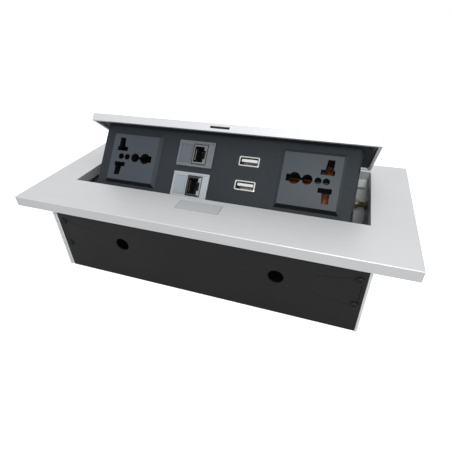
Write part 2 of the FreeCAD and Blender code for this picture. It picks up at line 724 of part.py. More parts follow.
def pivot_head_x():
    """X of the seat of the hinge screw's head, just past the torsion spring."""
    coil = SPRING_PITCH * spring_turn()[1] + SPRING_WIRE_RADIUS * 2 + SPRING_GAP * 2
    return CHEEK_INNER - BUSH_FLANGE - coil


def spring_turn():
    """Angle from +Y where the spring coil starts, in degrees, and its number of turns when open."""
    reach = HOUSING_REAR - SHEET - SPRING_WIRE_RADIUS - PIVOT_CLEARANCE - HINGE_Y
    far = math.hypot(reach, SPRING_DROP)
    start = math.degrees(math.acos(SPRING_COIL_RADIUS / far) - math.atan2(SPRING_DROP, reach))
    end = 90.0 - LID_OPEN_ANGLE
    return start, SPRING_TURNS + (end - start) / 360.0


def pivot_spacer():
    """Hex spacer on the right-hand hinge screw, beside the cheek."""
    start = CHEEK_OUTER + STOP_GAP
    body = hexagon(PIVOT_SPACER_RADIUS, V(start, HINGE_Y, HINGE_Z), V(1, 0, 0), PIVOT_SPACER_LENGTH)
    end = start + PIVOT_SPACER_LENGTH
    return cut(body, [hole_x(PIVOT_RADIUS + THREAD_CLEARANCE, start, end, HINGE_Y, HINGE_Z)])


def pivot_nuts():
    """Two nuts on each hinge screw, one on each face of the end plate."""
    nuts = []
    for start, length in ((INNER_SIDE - THIN_NUT_HEIGHT, THIN_NUT_HEIGHT), (HOUSING_SIDE, NUT_HEIGHT)):
        body = hexagon(PIVOT_NUT_RADIUS, V(start, HINGE_Y, HINGE_Z), V(1, 0, 0), length)
        bore = hole_x(PIVOT_RADIUS + THREAD_CLEARANCE, start, start + length, HINGE_Y, HINGE_Z)
        nuts.append(cut(body, [bore]))
    return nuts + [mirrored(nut) for nut in nuts]


def pivot_bush():
    """Flanged nylon bush in the right-hand cheek's eye."""
    outer = PIVOT_RADIUS + PIVOT_CLEARANCE + BUSH_WALL
    sleeve = rod(outer, CHEEK_INNER - BUSH_FLANGE, CHEEK_OUTER, HINGE_Y, HINGE_Z)
    flange = rod(outer + BUSH_WALL, CHEEK_INNER - BUSH_FLANGE, CHEEK_INNER, HINGE_Y, HINGE_Z)
    bore = hole_x(PIVOT_RADIUS + PIVOT_CLEARANCE, CHEEK_INNER - BUSH_FLANGE, CHEEK_OUTER, HINGE_Y, HINGE_Z)
    return cut(fuse([sleeve, flange]), [bore])


def lid_spring():
    """Right-hand torsion spring: rear leg on the rear wall, front leg under the cheek's tab."""
    start, turns = spring_turn()
    across = V(0, math.cos(math.radians(start)), math.sin(math.radians(start)))
    centre = V(pivot_head_x() + SPRING_WIRE_RADIUS + SPRING_GAP, HINGE_Y, HINGE_Z)
    edges, ends, tangents = coil_edges(centre, V(1, 0, 0), across, SPRING_COIL_RADIUS, SPRING_PITCH, turns)
    drop = (ends[0].z - HINGE_Z + SPRING_DROP) / tangents[0].z
    rear_end = ends[0] - tangents[0] * drop
    front_end = ends[1] + tangents[1] * SPRING_FRONT_LEG
    path = [Part.LineSegment(rear_end, ends[0]).toShape()] + edges
    path.append(Part.LineSegment(ends[1], front_end).toShape())
    return wire_solid(path, SPRING_WIRE_RADIUS, rear_end, tangents[0])


def lid_plate():
    """Satin lid: skin, rim on all four sides, latch slot and screw bosses."""
    body = box(-LID_SIDE, LID_SIDE, LID_FRONT, LID_REAR, LID_BOTTOM, TOP)
    body = body.makeFillet(LID_EDGE_RADIUS, upright_and_top_edges(body, LID_HEIGHT))
    hollow = box(-LID_SIDE + LID_RIM_WALL, LID_SIDE - LID_RIM_WALL, LID_FRONT + LID_RIM_WALL,
                 LID_REAR - LID_RIM_WALL, LID_BOTTOM, TOP - LID_SKIN)
    slot = rounded_box(-LATCH_SLOT_LENGTH / 2, LATCH_SLOT_LENGTH / 2, LID_FRONT - OVERCUT,
                       LID_FRONT + LID_RIM_WALL + OVERCUT, TOP - LATCH_SLOT_DEPTH - LATCH_SLOT_HEIGHT / 2,
                       TOP - LATCH_SLOT_DEPTH + LATCH_SLOT_HEIGHT / 2, LATCH_SLOT_CORNER, V(0, 1, 0))
    ramp_top = TOP - LATCH_SLOT_DEPTH
    ramp_low = ramp_top - LATCH_SLOT_HEIGHT / 2 - LATCH_RAMP[1]
    ramp = prism_x([(LID_FRONT - OVERCUT, ramp_top), (LID_FRONT + LATCH_RAMP[0], ramp_top),
                    (LID_FRONT, ramp_low), (LID_FRONT - OVERCUT, ramp_low)],
                   LATCH_SLOT_CORNER - LATCH_SLOT_LENGTH / 2, LATCH_SLOT_LENGTH / 2 - LATCH_SLOT_CORNER)
    plate = cut(body, [hollow, slot, ramp])
    bosses = [rod_z(BOSS_RADIUS, x, y, CARRIER_TOP, TOP - LID_SKIN) for x, y in lid_screw_places()]
    threads = [rod_z(SCREW_RADIUS + THREAD_CLEARANCE, x, y, CARRIER_TOP - OVERCUT, TOP - LID_SKIN)
               for x, y in lid_screw_places()]
    return cut(fuse([plate] + bosses), threads)


def lid_screw_places():
    """(x, y) of the carrier's screws: two at the front corners, four through the cheeks' flanges."""
    corner_x = LID_SIDE - LID_RIM_WALL - BOSS_RADIUS
    front = LID_FRONT + LID_RIM_WALL + BOSS_RADIUS + BOSS_GAP
    inner_x = CHEEK_INNER - LID_SCREW_FROM_CHEEK
    places = []
    for side_sign in (-1, 1):
        places.append((side_sign * corner_x, front))
        places += [(side_sign * inner_x + UNIT_OFFSET, y)
                   for y in (FLANGE_START + LID_SCREW_INSET, FLANGE_END - LID_SCREW_INSET)]
    return places


def lid_carrier():
    """Black sheet under the lid, inside its rim."""
    side = LID_SIDE - LID_RIM_WALL - CARRIER_GAP
    sheet = box(-side, side, LID_FRONT + LID_RIM_WALL + CARRIER_GAP, LID_REAR - LID_RIM_WALL - CARRIER_GAP,
                CARRIER_BOTTOM, CARRIER_TOP)
    return cut(sheet, [hole_z(SCREW_HOLE_RADIUS, x, y, CARRIER_BOTTOM, CARRIER_TOP)
                       for x, y in lid_screw_places()])


def lid_screws():
    """Screws up into the lid's bosses."""
    screws = []
    tip = TOP - LID_SKIN - THREAD_END_GAP
    for x, y in lid_screw_places():
        seat = CARRIER_BOTTOM if abs(x) > CHEEK_OUTER else CARRIER_BOTTOM - CHEEK_SHEET
        screws.append(pan_screw(V(x, y, tip), V(0, 0, -1), tip - seat))
    return screws


def cheek():
    """Right-hand black side plate with the hinge arm, lower foot, top flange and spring tab."""
    front = PANEL_FRONT + CHEEK_FRONT_SETBACK
    foot = PANEL_FRONT - FOOT_PROUD
    foot_z = TOP - FOOT_DEPTH
    eye_top = closed_place(APERTURE_REAR - STOP_GAP, HINGE_Z + EYE_RADIUS)
    stop_top = closed_place(APERTURE_REAR - STOP_GAP, HOUSING_HEIGHT - SHEET)
    low = math.radians(ARM_ANGLE)
    eye_low = (HINGE_Y + EYE_RADIUS * math.cos(low), HINGE_Z + EYE_RADIUS * math.sin(low))
    outline = [(front, CARRIER_BOTTOM), (CHEEK_REAR, CARRIER_BOTTOM), (CHEEK_REAR, LID_BOTTOM - STOP_GAP)]
    outline.append(stop_top)
    outline += [eye_top, (HINGE_Y, HINGE_Z), eye_low, (UNIT_BACK, UNIT_BOTTOM + FOOT_RISE * 2)]
    outline += [(UNIT_BACK, UNIT_BOTTOM), (foot, UNIT_BOTTOM), (foot, foot_z), (front, foot_z + FOOT_RISE)]
    side = prism_x(outline, CHEEK_INNER, CHEEK_OUTER)
    eye = rod(EYE_RADIUS, CHEEK_INNER, CHEEK_OUTER, HINGE_Y, HINGE_Z)
    flange = box(CHEEK_INNER - FLANGE_WIDTH, CHEEK_INNER, FLANGE_START, FLANGE_END,
                 CARRIER_BOTTOM - CHEEK_SHEET, CARRIER_BOTTOM)
    tab_y = HINGE_Y - SPRING_TAB_FROM_HINGE
    tab_low = HINGE_Z + SPRING_COIL_RADIUS + SPRING_WIRE_RADIUS + PIVOT_CLEARANCE
    tab = box(CHEEK_INNER - SPRING_TAB[0], CHEEK_INNER, tab_y, tab_y + SPRING_TAB[1], tab_low,
              tab_low + CHEEK_SHEET)
    plate = fuse([side, eye, flange, tab])
    tools = [hole_x(PIVOT_RADIUS + PIVOT_CLEARANCE + BUSH_WALL, CHEEK_INNER, CHEEK_OUTER, HINGE_Y, HINGE_Z)]
    for y, z in cheek_screw_places():
        tools.append(hole_x(SCREW_RADIUS + THREAD_CLEARANCE, CHEEK_INNER, CHEEK_OUTER, y, z))
    for x, y in lid_screw_places():
        if 0 < x < CHEEK_OUTER:
            tools.append(hole_z(SCREW_HOLE_RADIUS, x - UNIT_OFFSET, y, CARRIER_BOTTOM - CHEEK_SHEET,
                                CARRIER_BOTTOM))
    return cut(plate, tools)


def cheek_screw_places():
    """(y, z) of the three screws in each cheek, closed."""
    flange_y = PANEL_BACK + PANEL_FLANGE / 2
    heights = (CARRIER_BOTTOM - CHEEK_SCREW_FROM_EDGE, UNIT_BOTTOM + CHEEK_SCREW_FROM_EDGE)
    tray_screw = (UNIT_BACK - TRAY_SCREW_INSETS[0], UNIT_BOTTOM + TRAY_SCREW_INSETS[1])
    return [(flange_y, height) for height in heights] + [tray_screw]


def cheek_screws():
    """Three pan screws into each cheek from inside the unit."""
    length = CHEEK_SHEET + CHEEK_GAP + PANEL_SHEET
    screws = [pan_screw(V(CHEEK_OUTER, y, z), V(-1, 0, 0), length) for y, z in cheek_screw_places()]
    return screws + [mirrored(screw) for screw in screws]


def socket_centres():
    """(centre x, direction of the pin line) of the two mains sockets."""
    return {"right": (SOCKET_RIGHT_X, 1), "left": (SOCKET_LEFT_X, -1)}


def panel_hole(x, z, size):
    """Cutting block through the panel for a module's spigot."""
    return block(x, z, grown(size, MODULE_GAP), PANEL_FRONT - OVERCUT, PANEL_BACK + OVERCUT)


def socket_panel():
    """Black panel with cut-outs and side flanges folded back."""
    front = box(-PANEL_SIDE, PANEL_SIDE, PANEL_FRONT, PANEL_BACK, PANEL_BOTTOM, CARRIER_BOTTOM)
    flanges = []
    for side_sign in (-1, 1):
        x0, x1 = sorted((side_sign * PANEL_SIDE, side_sign * (PANEL_SIDE - PANEL_SHEET)))
        flanges.append(box(x0, x1, PANEL_BACK, PANEL_BACK + PANEL_FLANGE, PANEL_BOTTOM,
                           CARRIER_BOTTOM - PANEL_FLANGE_RELIEF))
    panel = fuse([front] + flanges)
    tools = [panel_hole(x, TOP - SOCKET_DEPTH, SOCKET_SPIGOT) for x, _ in socket_centres().values()]
    tools += [panel_hole(DATA_X, TOP - depth, DATA_SPIGOT) for depth in DATA_DEPTHS]
    tools += [panel_hole(USB_X, TOP - depth, USB_TUBE) for depth in USB_DEPTHS]
    for y, z in cheek_screw_places()[:2]:
        hole = hole_x(SCREW_HOLE_RADIUS, PANEL_SIDE - PANEL_SHEET, PANEL_SIDE, y, z)
        tools += [hole, mirrored(hole)]
    return cut(panel, tools)


def unit_tray():
    """Floor and back wall of the flip-up unit, with side tabs and two lead holes."""
    floor = box(-PANEL_SIDE, PANEL_SIDE, PANEL_BACK, UNIT_BACK, UNIT_BOTTOM, PANEL_BOTTOM)
    back_top = CARRIER_BOTTOM - TRAY_RELIEF
    back = box(-PANEL_SIDE, PANEL_SIDE, UNIT_BACK - SHEET, UNIT_BACK, UNIT_BOTTOM, back_top)
    parts = [floor, back]
    for side_sign in (-1, 1):
        x0, x1 = sorted((side_sign * PANEL_SIDE, side_sign * (PANEL_SIDE - PANEL_SHEET)))
        parts.append(box(x0, x1, UNIT_BACK - TRAY_TAB[0], UNIT_BACK - SHEET, PANEL_BOTTOM,
                         UNIT_BOTTOM + TRAY_TAB[1]))
    tray = fuse(parts)
    y, z = cheek_screw_places()[2]
    hole = hole_x(SCREW_HOLE_RADIUS, PANEL_SIDE - PANEL_SHEET, PANEL_SIDE, y, z)
    tools = [hole, mirrored(hole)]
    for x in (-GROMMET_SPREAD, GROMMET_SPREAD):
        tools.append(hole_y(GROMMET_RADIUS, x, UNIT_BACK - SHEET, UNIT_BACK, grommet_z()))
    return cut(tray, tools)


def grommet_z():
    """Closed height of the lead holes in the unit's back wall."""
    return PANEL_BOTTOM + GROMMET_HEIGHT


def lead_grommets():
    """Rubber rings in the two lead holes."""
    rings = []
    for x in (-GROMMET_SPREAD, GROMMET_SPREAD):
        z = grommet_z()
        front = UNIT_BACK - SHEET - GROMMET_LIP
        rear = UNIT_BACK + GROMMET_LIP
        sleeve = rod_y(GROMMET_RADIUS - GROMMET_GAP, x, front, rear, z)
        inner = rod_y(GROMMET_RADIUS + GROMMET_LIP, x, front, UNIT_BACK - SHEET, z)
        outer = rod_y(GROMMET_RADIUS + GROMMET_LIP, x, UNIT_BACK, rear, z)
        bore = hole_y(GROMMET_RADIUS - GROMMET_WALL, x, front, rear, z)
        rings.append(cut(fuse([sleeve, inner, outer]), [bore]))
    return rings


def slot_outline(x, z, sign, up):
    """One T-shaped pin slot: crossbar at the inner end, stem beyond it with its inner flank slanted."""
    stem = PIN_LINE + STEM_OFFSET
    half_bar = CROSSBAR_WIDTH / 2
    half_stem = STEM_WIDTH / 2
    step = SLOT_INNER + CROSSBAR_HEIGHT
    bar_start, bar_end = PIN_LINE - half_bar, PIN_LINE + half_bar
    outline = [(bar_start, SLOT_INNER), (bar_end, SLOT_INNER), (bar_end, step), (stem + half_stem, step)]
    outline += [(stem + half_stem, SLOT_OUTER), (stem - half_stem + STEM_SLANT, SLOT_OUTER)]
    outline += [(stem - half_stem - STEM_SLANT, step), (bar_start, step)]
    return [(x + sign * out, z + up * rise) for out, rise in outline]


def socket_face(x, sign):
    """Bevelled face of a universal socket with its pin holes."""
    z = TOP - SOCKET_DEPTH
    mid = z - SOCKET_FACE_DROP
    wires = []
    for size, y in ((SOCKET_OUTER, PANEL_FRONT), (SOCKET_FACE, PANEL_FRONT - SOCKET_PROUD)):
        half_x, half_z = size[0] / 2, size[1] / 2
        corners = [V(x - half_x, y, mid - half_z), V(x + half_x, y, mid - half_z),
                   V(x + half_x, y, mid + half_z), V(x - half_x, y, mid + half_z)]
        wires.append(Part.makePolygon(corners + corners[:1]))
    face = Part.makeLoft(wires, True, True)
    spigot = rounded_block(x, z, SOCKET_SPIGOT, PANEL_FRONT, PANEL_BACK + SPIGOT_REACH, SPIGOT_RADIUS)
    y0 = PANEL_FRONT - SOCKET_PROUD - OVERCUT
    y1 = PANEL_BACK + SPIGOT_REACH + OVERCUT
    tools = [prism_y(slot_outline(x, z, sign, up), y0, y1) for up in (-1, 1)]
    tools += [rod_y(SMALL_HOLE_RADIUS, x + sign * offset, y0, y1, z) for offset in SMALL_HOLE_OFFSETS]
    tools.append(rod_y(GROUND_HOLE_RADIUS, x + sign * GROUND_OFFSET, y0, y1, z))
    tools.append(rod_y(EARTH_HOLE_RADIUS, x + sign * EARTH_OFFSET, y0, y1, z))
    x0, x1 = sorted((x + sign * EARTH_SLOT_END, x + sign * EARTH_OFFSET))
    tools.append(box(x0, x1, y0, y1, z - EARTH_SLOT_HEIGHT / 2, z + EARTH_SLOT_HEIGHT / 2))
    x0, x1 = sorted((x + sign * EARTH_OFFSET, x + sign * GROUND_OFFSET))
    tools.append(box(x0, x1, y0, y1, z - EARTH_LINK_HEIGHT / 2, z + EARTH_LINK_HEIGHT / 2))
    return cut(fuse([face, spigot]), tools)


def socket_chambers(x, z, sign):
    """Outlines (x0, x1, z0, z1) of the three contact chambers in a socket body."""
    pin_x = x + sign * (PIN_LINE + STEM_OFFSET / 2)
    half = CROSSBAR_WIDTH / 2 + CHAMBER_GAP[0]
    earth = sorted((x + sign * (EARTH_SLOT_END - EARTH_CHAMBER_GAP[0]),
                    x + sign * (GROUND_OFFSET + GROUND_HOLE_RADIUS + EARTH_CHAMBER_GAP[1])))
    reach = EARTH_HOLE_RADIUS + EARTH_CHAMBER_GAP[2]
    inner = SLOT_INNER - CHAMBER_MEETING
    outer = SLOT_OUTER + CHAMBER_GAP[1]
    x0, x1 = pin_x - half, pin_x + half
    return [(x0, x1, z + inner, z + outer), (x0, x1, z - outer, z - inner),
            (earth[0], earth[1], z - reach, z + reach)]


def socket_body(x, sign):
    """Insulating body behind a socket face, with a chamber for each contact."""
    z = TOP - SOCKET_DEPTH
    y0 = PANEL_BACK + SPIGOT_REACH
    y1 = y0 + SOCKET_BODY_LENGTH
    web = y1 - BODY_BACK_WALL
    body = rounded_block(x, z, SOCKET_BODY, y0, y1, SOCKET_CORNER)
    tools = []
    for xa, xb, za, zb in socket_chambers(x, z, sign):
        tools.append(box(xa, xb, y0 - OVERCUT, web, za, zb))
        tools.append(hole_y(SCREW_RADIUS + THREAD_CLEARANCE, (xa + xb) / 2, web, y1, (za + zb) / 2))
    for offset in SMALL_HOLE_OFFSETS:
        tools.append(rod_y(SMALL_HOLE_RADIUS, x + sign * offset, y0 - OVERCUT, y0 + SMALL_HOLE_DEPTH, z))
    return cut(body, tools)


def socket_contacts(x, sign):
    """Brass clips in the three chambers: two leaves joined by a web at the back."""
    z = TOP - SOCKET_DEPTH
    y0 = PANEL_BACK + SPIGOT_REACH
    front = y0 + CONTACT_SETBACK
    web = y0 + SOCKET_BODY_LENGTH - BODY_BACK_WALL
    clips = []
    chambers = socket_chambers(x, z, sign)
    for index, (xa, xb, za, zb) in enumerate(chambers):
        low_x, high_x = xa + CLIP_GAP, xb - CLIP_GAP
        low_z, high_z = za + CLIP_GAP, zb - CLIP_GAP
        if index < 2:
            centre = x + sign * (PIN_LINE + STEM_OFFSET)
            a0, a1 = centre - CONTACT_GAP / 2, centre + CONTACT_GAP / 2
            leaves = [box(a0 - CONTACT_SHEET, a0, front, web, low_z, high_z),
                      box(a1, a1 + CONTACT_SHEET, front, web, low_z, high_z)]
            back = box(a0 - CONTACT_SHEET, a1 + CONTACT_SHEET, web - CONTACT_SHEET, web, low_z, high_z)
        else:
            a0, a1 = z - CONTACT_GAP / 2, z + CONTACT_GAP / 2
            leaves = [box(low_x, high_x, front, web, a0 - CONTACT_SHEET, a0),
                      box(low_x, high_x, front, web, a1, a1 + CONTACT_SHEET)]
            back = box(low_x, high_x, web - CONTACT_SHEET, web, a0 - CONTACT_SHEET, a1 + CONTACT_SHEET)
        clips.append(fuse(leaves + [back]))
    return clips


def socket_terminals(x, sign):
    """Terminal screws at the back of a socket body."""
    z = TOP - SOCKET_DEPTH
    tip = PANEL_BACK + SPIGOT_REACH + SOCKET_BODY_LENGTH - TERMINAL_REACH
    screws = []
    for xa, xb, za, zb in socket_chambers(x, z, sign):
        screws.append(pan_screw(V((xa + xb) / 2, tip, (za + zb) / 2), V(0, 1, 0), TERMINAL_REACH))
    return screws


def jumper_wire(index):
    """Insulated jumper from the left socket's terminal to the right one's."""
    z = TOP - SOCKET_DEPTH
    ends = []
    for name in ("left", "right"):
        x, sign = socket_centres()[name]
        xa, xb, za, zb = socket_chambers(x, z, sign)[index]
        ends.append(((xa + xb) / 2, (za + zb) / 2))
    seat = PANEL_BACK + SPIGOT_REACH + SOCKET_BODY_LENGTH + SCREW_HEAD_HEIGHT
    run = seat + WIRE_REACH
    (x0, z0), (x1, z1) = ends
    start = V(x0, seat, z0)
    first = V(x0, run - WIRE_BEND, z0)
    edges = [Part.LineSegment(start, first).toShape()]
    edges.append(arc_through(first, V(x0, run, z0), V(x0 + WIRE_BEND, run, z0)))
    edges.append(Part.LineSegment(V(x0 + WIRE_BEND, run, z0), V(x1 - WIRE_BEND, run, z1)).toShape())
    edges.append(arc_through(V(x1 - WIRE_BEND, run, z1), V(x1, run, z1), V(x1, run - WIRE_BEND, z1)))
    edges.append(Part.LineSegment(V(x1, run - WIRE_BEND, z1), V(x1, seat, z1)).toShape())
    return wire_solid(edges, WIRE_RADIUS, start, V(0, 1, 0))


def data_frame(depth):
    """Raised frame of a data port: border, label window and jack window."""
    z = TOP - depth
    front = PANEL_FRONT - DATA_PROUD
    plate = rounded_block(DATA_X, z, DATA_FRAME, front, PANEL_FRONT, DATA_CORNER)
    plate = plate.makeFillet(DATA_EDGE, [e for e in plate.Edges if e.BoundBox.YMax < front + EDGE_TOLERANCE])
    spigot = block(DATA_X, z, DATA_SPIGOT, PANEL_FRONT, PANEL_BACK + DATA_SPIGOT_REACH)
    dish = block(DATA_X, z, grown(DATA_FRAME, -DATA_BORDER), front - OVERCUT, front + DATA_RECESS)
    label = block(DATA_X + LABEL_OFFSET, z, LABEL_SIZE, front - OVERCUT, front + DATA_RECESS + LABEL_RECESS)
    window = jack_block(z, front - OVERCUT, PANEL_FRONT, JACK_WINDOW_GAP)
    jack = jack_block(z, front - OVERCUT, PANEL_BACK + DATA_SPIGOT_REACH + OVERCUT, JACK_GAP)
    return cut(fuse([plate, spigot]), [dish, label, window, jack])


def jack_block(z, y0, y1, gap):
    """Block of a data jack's outer size, grown by a gap."""
    return block(DATA_X + JACK_OFFSET, z, grown(JACK_OUTER, gap), y0, y1)


def data_label(depth):
    """Bare label insert in the frame's window."""
    z = TOP - depth
    y = PANEL_FRONT - DATA_PROUD + DATA_RECESS + LABEL_RECESS - LABEL_THICKNESS
    return block(DATA_X + LABEL_OFFSET, z, grown(LABEL_SIZE, -LABEL_GAP), y, y + LABEL_THICKNESS)


def data_jack(depth):
    """Jack body turned on its side, with the plug cavity and the latch notch to the right."""
    z = TOP - depth
    x = DATA_X + JACK_OFFSET
    front = PANEL_FRONT - DATA_PROUD + DATA_RECESS
    body = jack_block(z, front, front + JACK_LENGTH, 0)
    back = front + JACK_CAVITY
    cavity = block(x - JACK_NOTCH[0] / 2, z, JACK_OPENING, front - OVERCUT, back)
    notch = block(x + JACK_OPENING[0] / 2, z, JACK_NOTCH, front - OVERCUT, back)
    return cut(body, [cavity, notch])


def jack_contacts(depth):
    """Sprung contact wires along the cavity's left wall."""
    z = TOP - depth
    x = DATA_X + JACK_OFFSET
    front = PANEL_FRONT - DATA_PROUD + DATA_RECESS
    left = x - JACK_OPENING[0] / 2 - JACK_NOTCH[0] / 2
    wires = []
    back = front + JACK_CAVITY
    thick = JACK_WIRE_THICKNESS
    start_x = left + JACK_GAP
    crest_x = start_x + JACK_WIRE_REACH
    outline = [(start_x, front + JACK_WIRE_SETBACK), (start_x + thick, front + JACK_WIRE_SETBACK),
               (crest_x + thick, back - JACK_WIRE_SETBACK), (crest_x + thick, back), (crest_x, back),
               (crest_x, back - JACK_WIRE_SETBACK)]
    for step in range(JACK_WIRES):
        height = z + (step - (JACK_WIRES - 1) / 2) * JACK_WIRE_PITCH
        wires.append(prism_z(outline, height - thick / 2, height + thick / 2))
    return wires


def usb_shell(depth):
    """Steel shell of a USB port with its flared front lip."""
    z = TOP - depth
    y0 = PANEL_FRONT - USB_LIP
    y1 = PANEL_FRONT + USB_LENGTH
    tube = rounded_block(USB_X, z, USB_TUBE, PANEL_FRONT, y1, USB_CORNERS[1])
    lip = rounded_block(USB_X, z, USB_OUTER, y0, PANEL_FRONT, USB_CORNERS[0])
    bore = rounded_block(USB_X, z, grown(USB_TUBE, -USB_WALL), y0 - OVERCUT, y1 + OVERCUT, USB_CORNERS[2])
    return cut(fuse([tube, lip]), [bore])


def usb_tongue(depth):
    """White contact tongue and its block at the back of the shell."""
    z = TOP - depth
    half = USB_TUBE[0] / 2 - USB_WALL - USB_BLOCK_GAP[0]
    back = PANEL_FRONT + USB_LENGTH
    start = back - USB_BLOCK_LENGTH
    high = USB_TUBE[1] / 2 - USB_WALL - USB_BLOCK_GAP[1]
    root = box(USB_X - half, USB_X + half, start, back, z - high, z + high)
    tongue = block(USB_X, z + USB_TONGUE_LIFT, USB_TONGUE, PANEL_FRONT + USB_TONGUE_SETBACK, start)
    return fuse([root, tongue])


def usb_board():
    """Circuit board that both USB ports sit on."""
    y = PANEL_FRONT + USB_LENGTH
    z = TOP - sum(USB_DEPTHS) / 2
    return block(USB_X, z, BOARD_SIZE, y, y + BOARD_THICKNESS)


def usb_converter():
    """Supply module on the back of the USB board."""
    y = PANEL_FRONT + USB_LENGTH + BOARD_THICKNESS
    z = TOP - sum(USB_DEPTHS) / 2
    return rounded_block(USB_X, z, CONVERTER_FACE, y, y + CONVERTER_THICKNESS, CONVERTER_CORNER)


def push_button():
    """Button cap flush in the bezel, with side ears and the wedge leg that drives the latch."""
    half = BUTTON_LENGTH / 2
    cap = rounded_box(-half, half, BUTTON_FRONT, BUTTON_REAR, TOP - BUTTON_THICKNESS, TOP,
                      BEZEL_EDGE_RADIUS, V(0, 0, 1))
    ear_top = SKIN_UNDERSIDE - BUTTON_EAR_GAP
    ears = box(-half - BUTTON_EAR, half + BUTTON_EAR, BUTTON_FRONT + BUTTON_EAR_INSET,
               BUTTON_REAR - BUTTON_EAR_INSET, TOP - BUTTON_THICKNESS, ear_top)
    slope = BUTTON_TRAVEL / LATCH_TRAVEL
    toe = wedge_toe() + WEDGE_GAP
    leg_bottom = TOP - LATCH_FLOOR_DEPTH + BUTTON_TRAVEL + BUTTON_LEG_GAP
    leg_y = toe - (leg_bottom - (TOP - LATCH_FLOOR_DEPTH)) / slope
    meet_z = TOP - LATCH_FLOOR_DEPTH + (toe - BUTTON_FRONT) * slope
    leg_top = TOP - BUTTON_THICKNESS
    leg_back = leg_y + BUTTON_LEG_DEPTH
    outline = [(BUTTON_FRONT, leg_top), (BUTTON_FRONT, meet_z), (leg_y, leg_bottom)]
    outline += [(leg_back, leg_bottom), (leg_back, leg_top)]
    leg = prism_x(outline, -WEDGE_WIDTH / 2, WEDGE_WIDTH / 2)
    return fuse([cap, ears, leg])


def wedge_toe():
    """Y of the toe of the latch's wedge at rest, on top of the latch's floor strip."""
    return BUTTON_FRONT + WEDGE_TOE_SETBACK


def latch_bolt():
    """Stepped steel strip: tip through the lip, riser, floor strip and wedge."""
    half = LATCH_WIDTH / 2
    tip_z = TOP - LATCH_SLOT_DEPTH
    floor_z = TOP - LATCH_FLOOR_DEPTH
    tip_end = APERTURE_FRONT + LATCH_REACH
    riser = APERTURE_FRONT - LIP_WALL - STOP_GAP
    slope = BUTTON_TRAVEL / LATCH_TRAVEL
    toe = wedge_toe()
    crest = toe - WEDGE_HEIGHT / slope
    tip = prism_x([(riser - LATCH_SHEET, tip_z - LATCH_SHEET / 2), (tip_end, tip_z - LATCH_SHEET / 2),
                   (tip_end, tip_z + LATCH_SHEET / 4), (tip_end - LATCH_TIP_BEVEL, tip_z + LATCH_SHEET / 2),
                   (riser - LATCH_SHEET, tip_z + LATCH_SHEET / 2)], -half, half)
    upright = box(-half, half, riser - LATCH_SHEET, riser, floor_z - LATCH_SHEET, tip_z)
    strip = box(-half, half, crest - WEDGE_BACK, riser, floor_z - LATCH_SHEET, floor_z)
    wedge_top = floor_z + WEDGE_HEIGHT
    wedge = prism_x([(toe, floor_z), (crest, wedge_top), (crest - WEDGE_BACK, wedge_top),
                     (crest - WEDGE_BACK, floor_z)], -WEDGE_WIDTH / 2, WEDGE_WIDTH / 2)
    return fuse([tip, upright, strip, wedge])


def latch_back():
    """Y of the back of the latch's wedge at rest."""
    return wedge_toe() - WEDGE_HEIGHT * LATCH_TRAVEL / BUTTON_TRAVEL - WEDGE_BACK


def guide_front():
    """Y of the button guide's front wall, inner face."""
    return FRONT_GAP_FLOOR + STOP_GAP + GUIDE_WALL


def button_guide():
    """Plastic tray under the button: floor, side walls, front wall, latch ribs and screw ears."""
    rear = APERTURE_FRONT - LIP_WALL - GUIDE_SEAT_GAP
    front = guide_front()
    floor_top = TOP - LATCH_FLOOR_DEPTH - LATCH_SHEET - GUIDE_CLEARANCE
    floor_low = floor_top - GUIDE_WALL
    half = GUIDE_HALF_LENGTH
    inner = BUTTON_LENGTH / 2 + BUTTON_EAR + GUIDE_CLEARANCE
    parts = [box(-half, half, front - GUIDE_WALL, rear, floor_low, floor_top),
             box(-half, half, front - GUIDE_WALL, front, floor_low, SKIN_UNDERSIDE - GUIDE_SEAT_GAP)]
    for side_sign in (-1, 1):
        x0, x1 = sorted((side_sign * inner, side_sign * half))
        parts.append(box(x0, x1, front - GUIDE_WALL, rear, floor_low, SKIN_UNDERSIDE - GUIDE_SEAT_GAP))
        rib = LATCH_WIDTH / 2 + GUIDE_CLEARANCE
        x0, x1 = sorted((side_sign * rib, side_sign * (rib + GUIDE_WALL)))
        parts.append(box(x0, x1, front, rear, floor_top, TOP - LATCH_FLOOR_DEPTH + GUIDE_RIB))
        x0, x1 = sorted((side_sign * half, side_sign * (half + GUIDE_EAR)))
        ear_y = guide_screw_y()
        ear_low = guide_ear_top() - GUIDE_EAR_SHEET
        parts.append(box(x0, x1, ear_y - GUIDE_EAR / 2, ear_y + GUIDE_EAR / 2, ear_low, guide_ear_top()))
    guide = fuse(parts)
    tools = [hole_z(SCREW_HOLE_RADIUS, guide_screw_x(s), guide_screw_y(), guide_ear_top() - GUIDE_EAR_SHEET,
                    guide_ear_top()) for s in (-1, 1)]
    return cut(guide, tools)


def guide_screws():
    """Two screws through the guide's ears into the bezel's bosses."""
    tips = [V(guide_screw_x(s), guide_screw_y(), guide_ear_top() - GUIDE_EAR_SHEET + GUIDE_SCREW_LENGTH)
            for s in (-1, 1)]
    return [pan_screw(tip, V(0, 0, -1), GUIDE_SCREW_LENGTH) for tip in tips]


def latch_spring():
    """Small coil spring between the guide's front wall and the latch's wedge."""
    start = guide_front() + LATCH_SPRING_WIRE
    end = latch_back() - LATCH_SPRING_WIRE - PIVOT_CLEARANCE
    pitch = (end - start) / LATCH_SPRING_TURNS
    centre = V(0, start, TOP - LATCH_FLOOR_DEPTH + WEDGE_HEIGHT / 2)
    edges, ends, tangents = coil_edges(centre, V(0, 1, 0), V(1, 0, 0), LATCH_SPRING_RADIUS, pitch,
                                       LATCH_SPRING_TURNS)
    return wire_solid(edges, LATCH_SPRING_WIRE, ends[0], tangents[0])


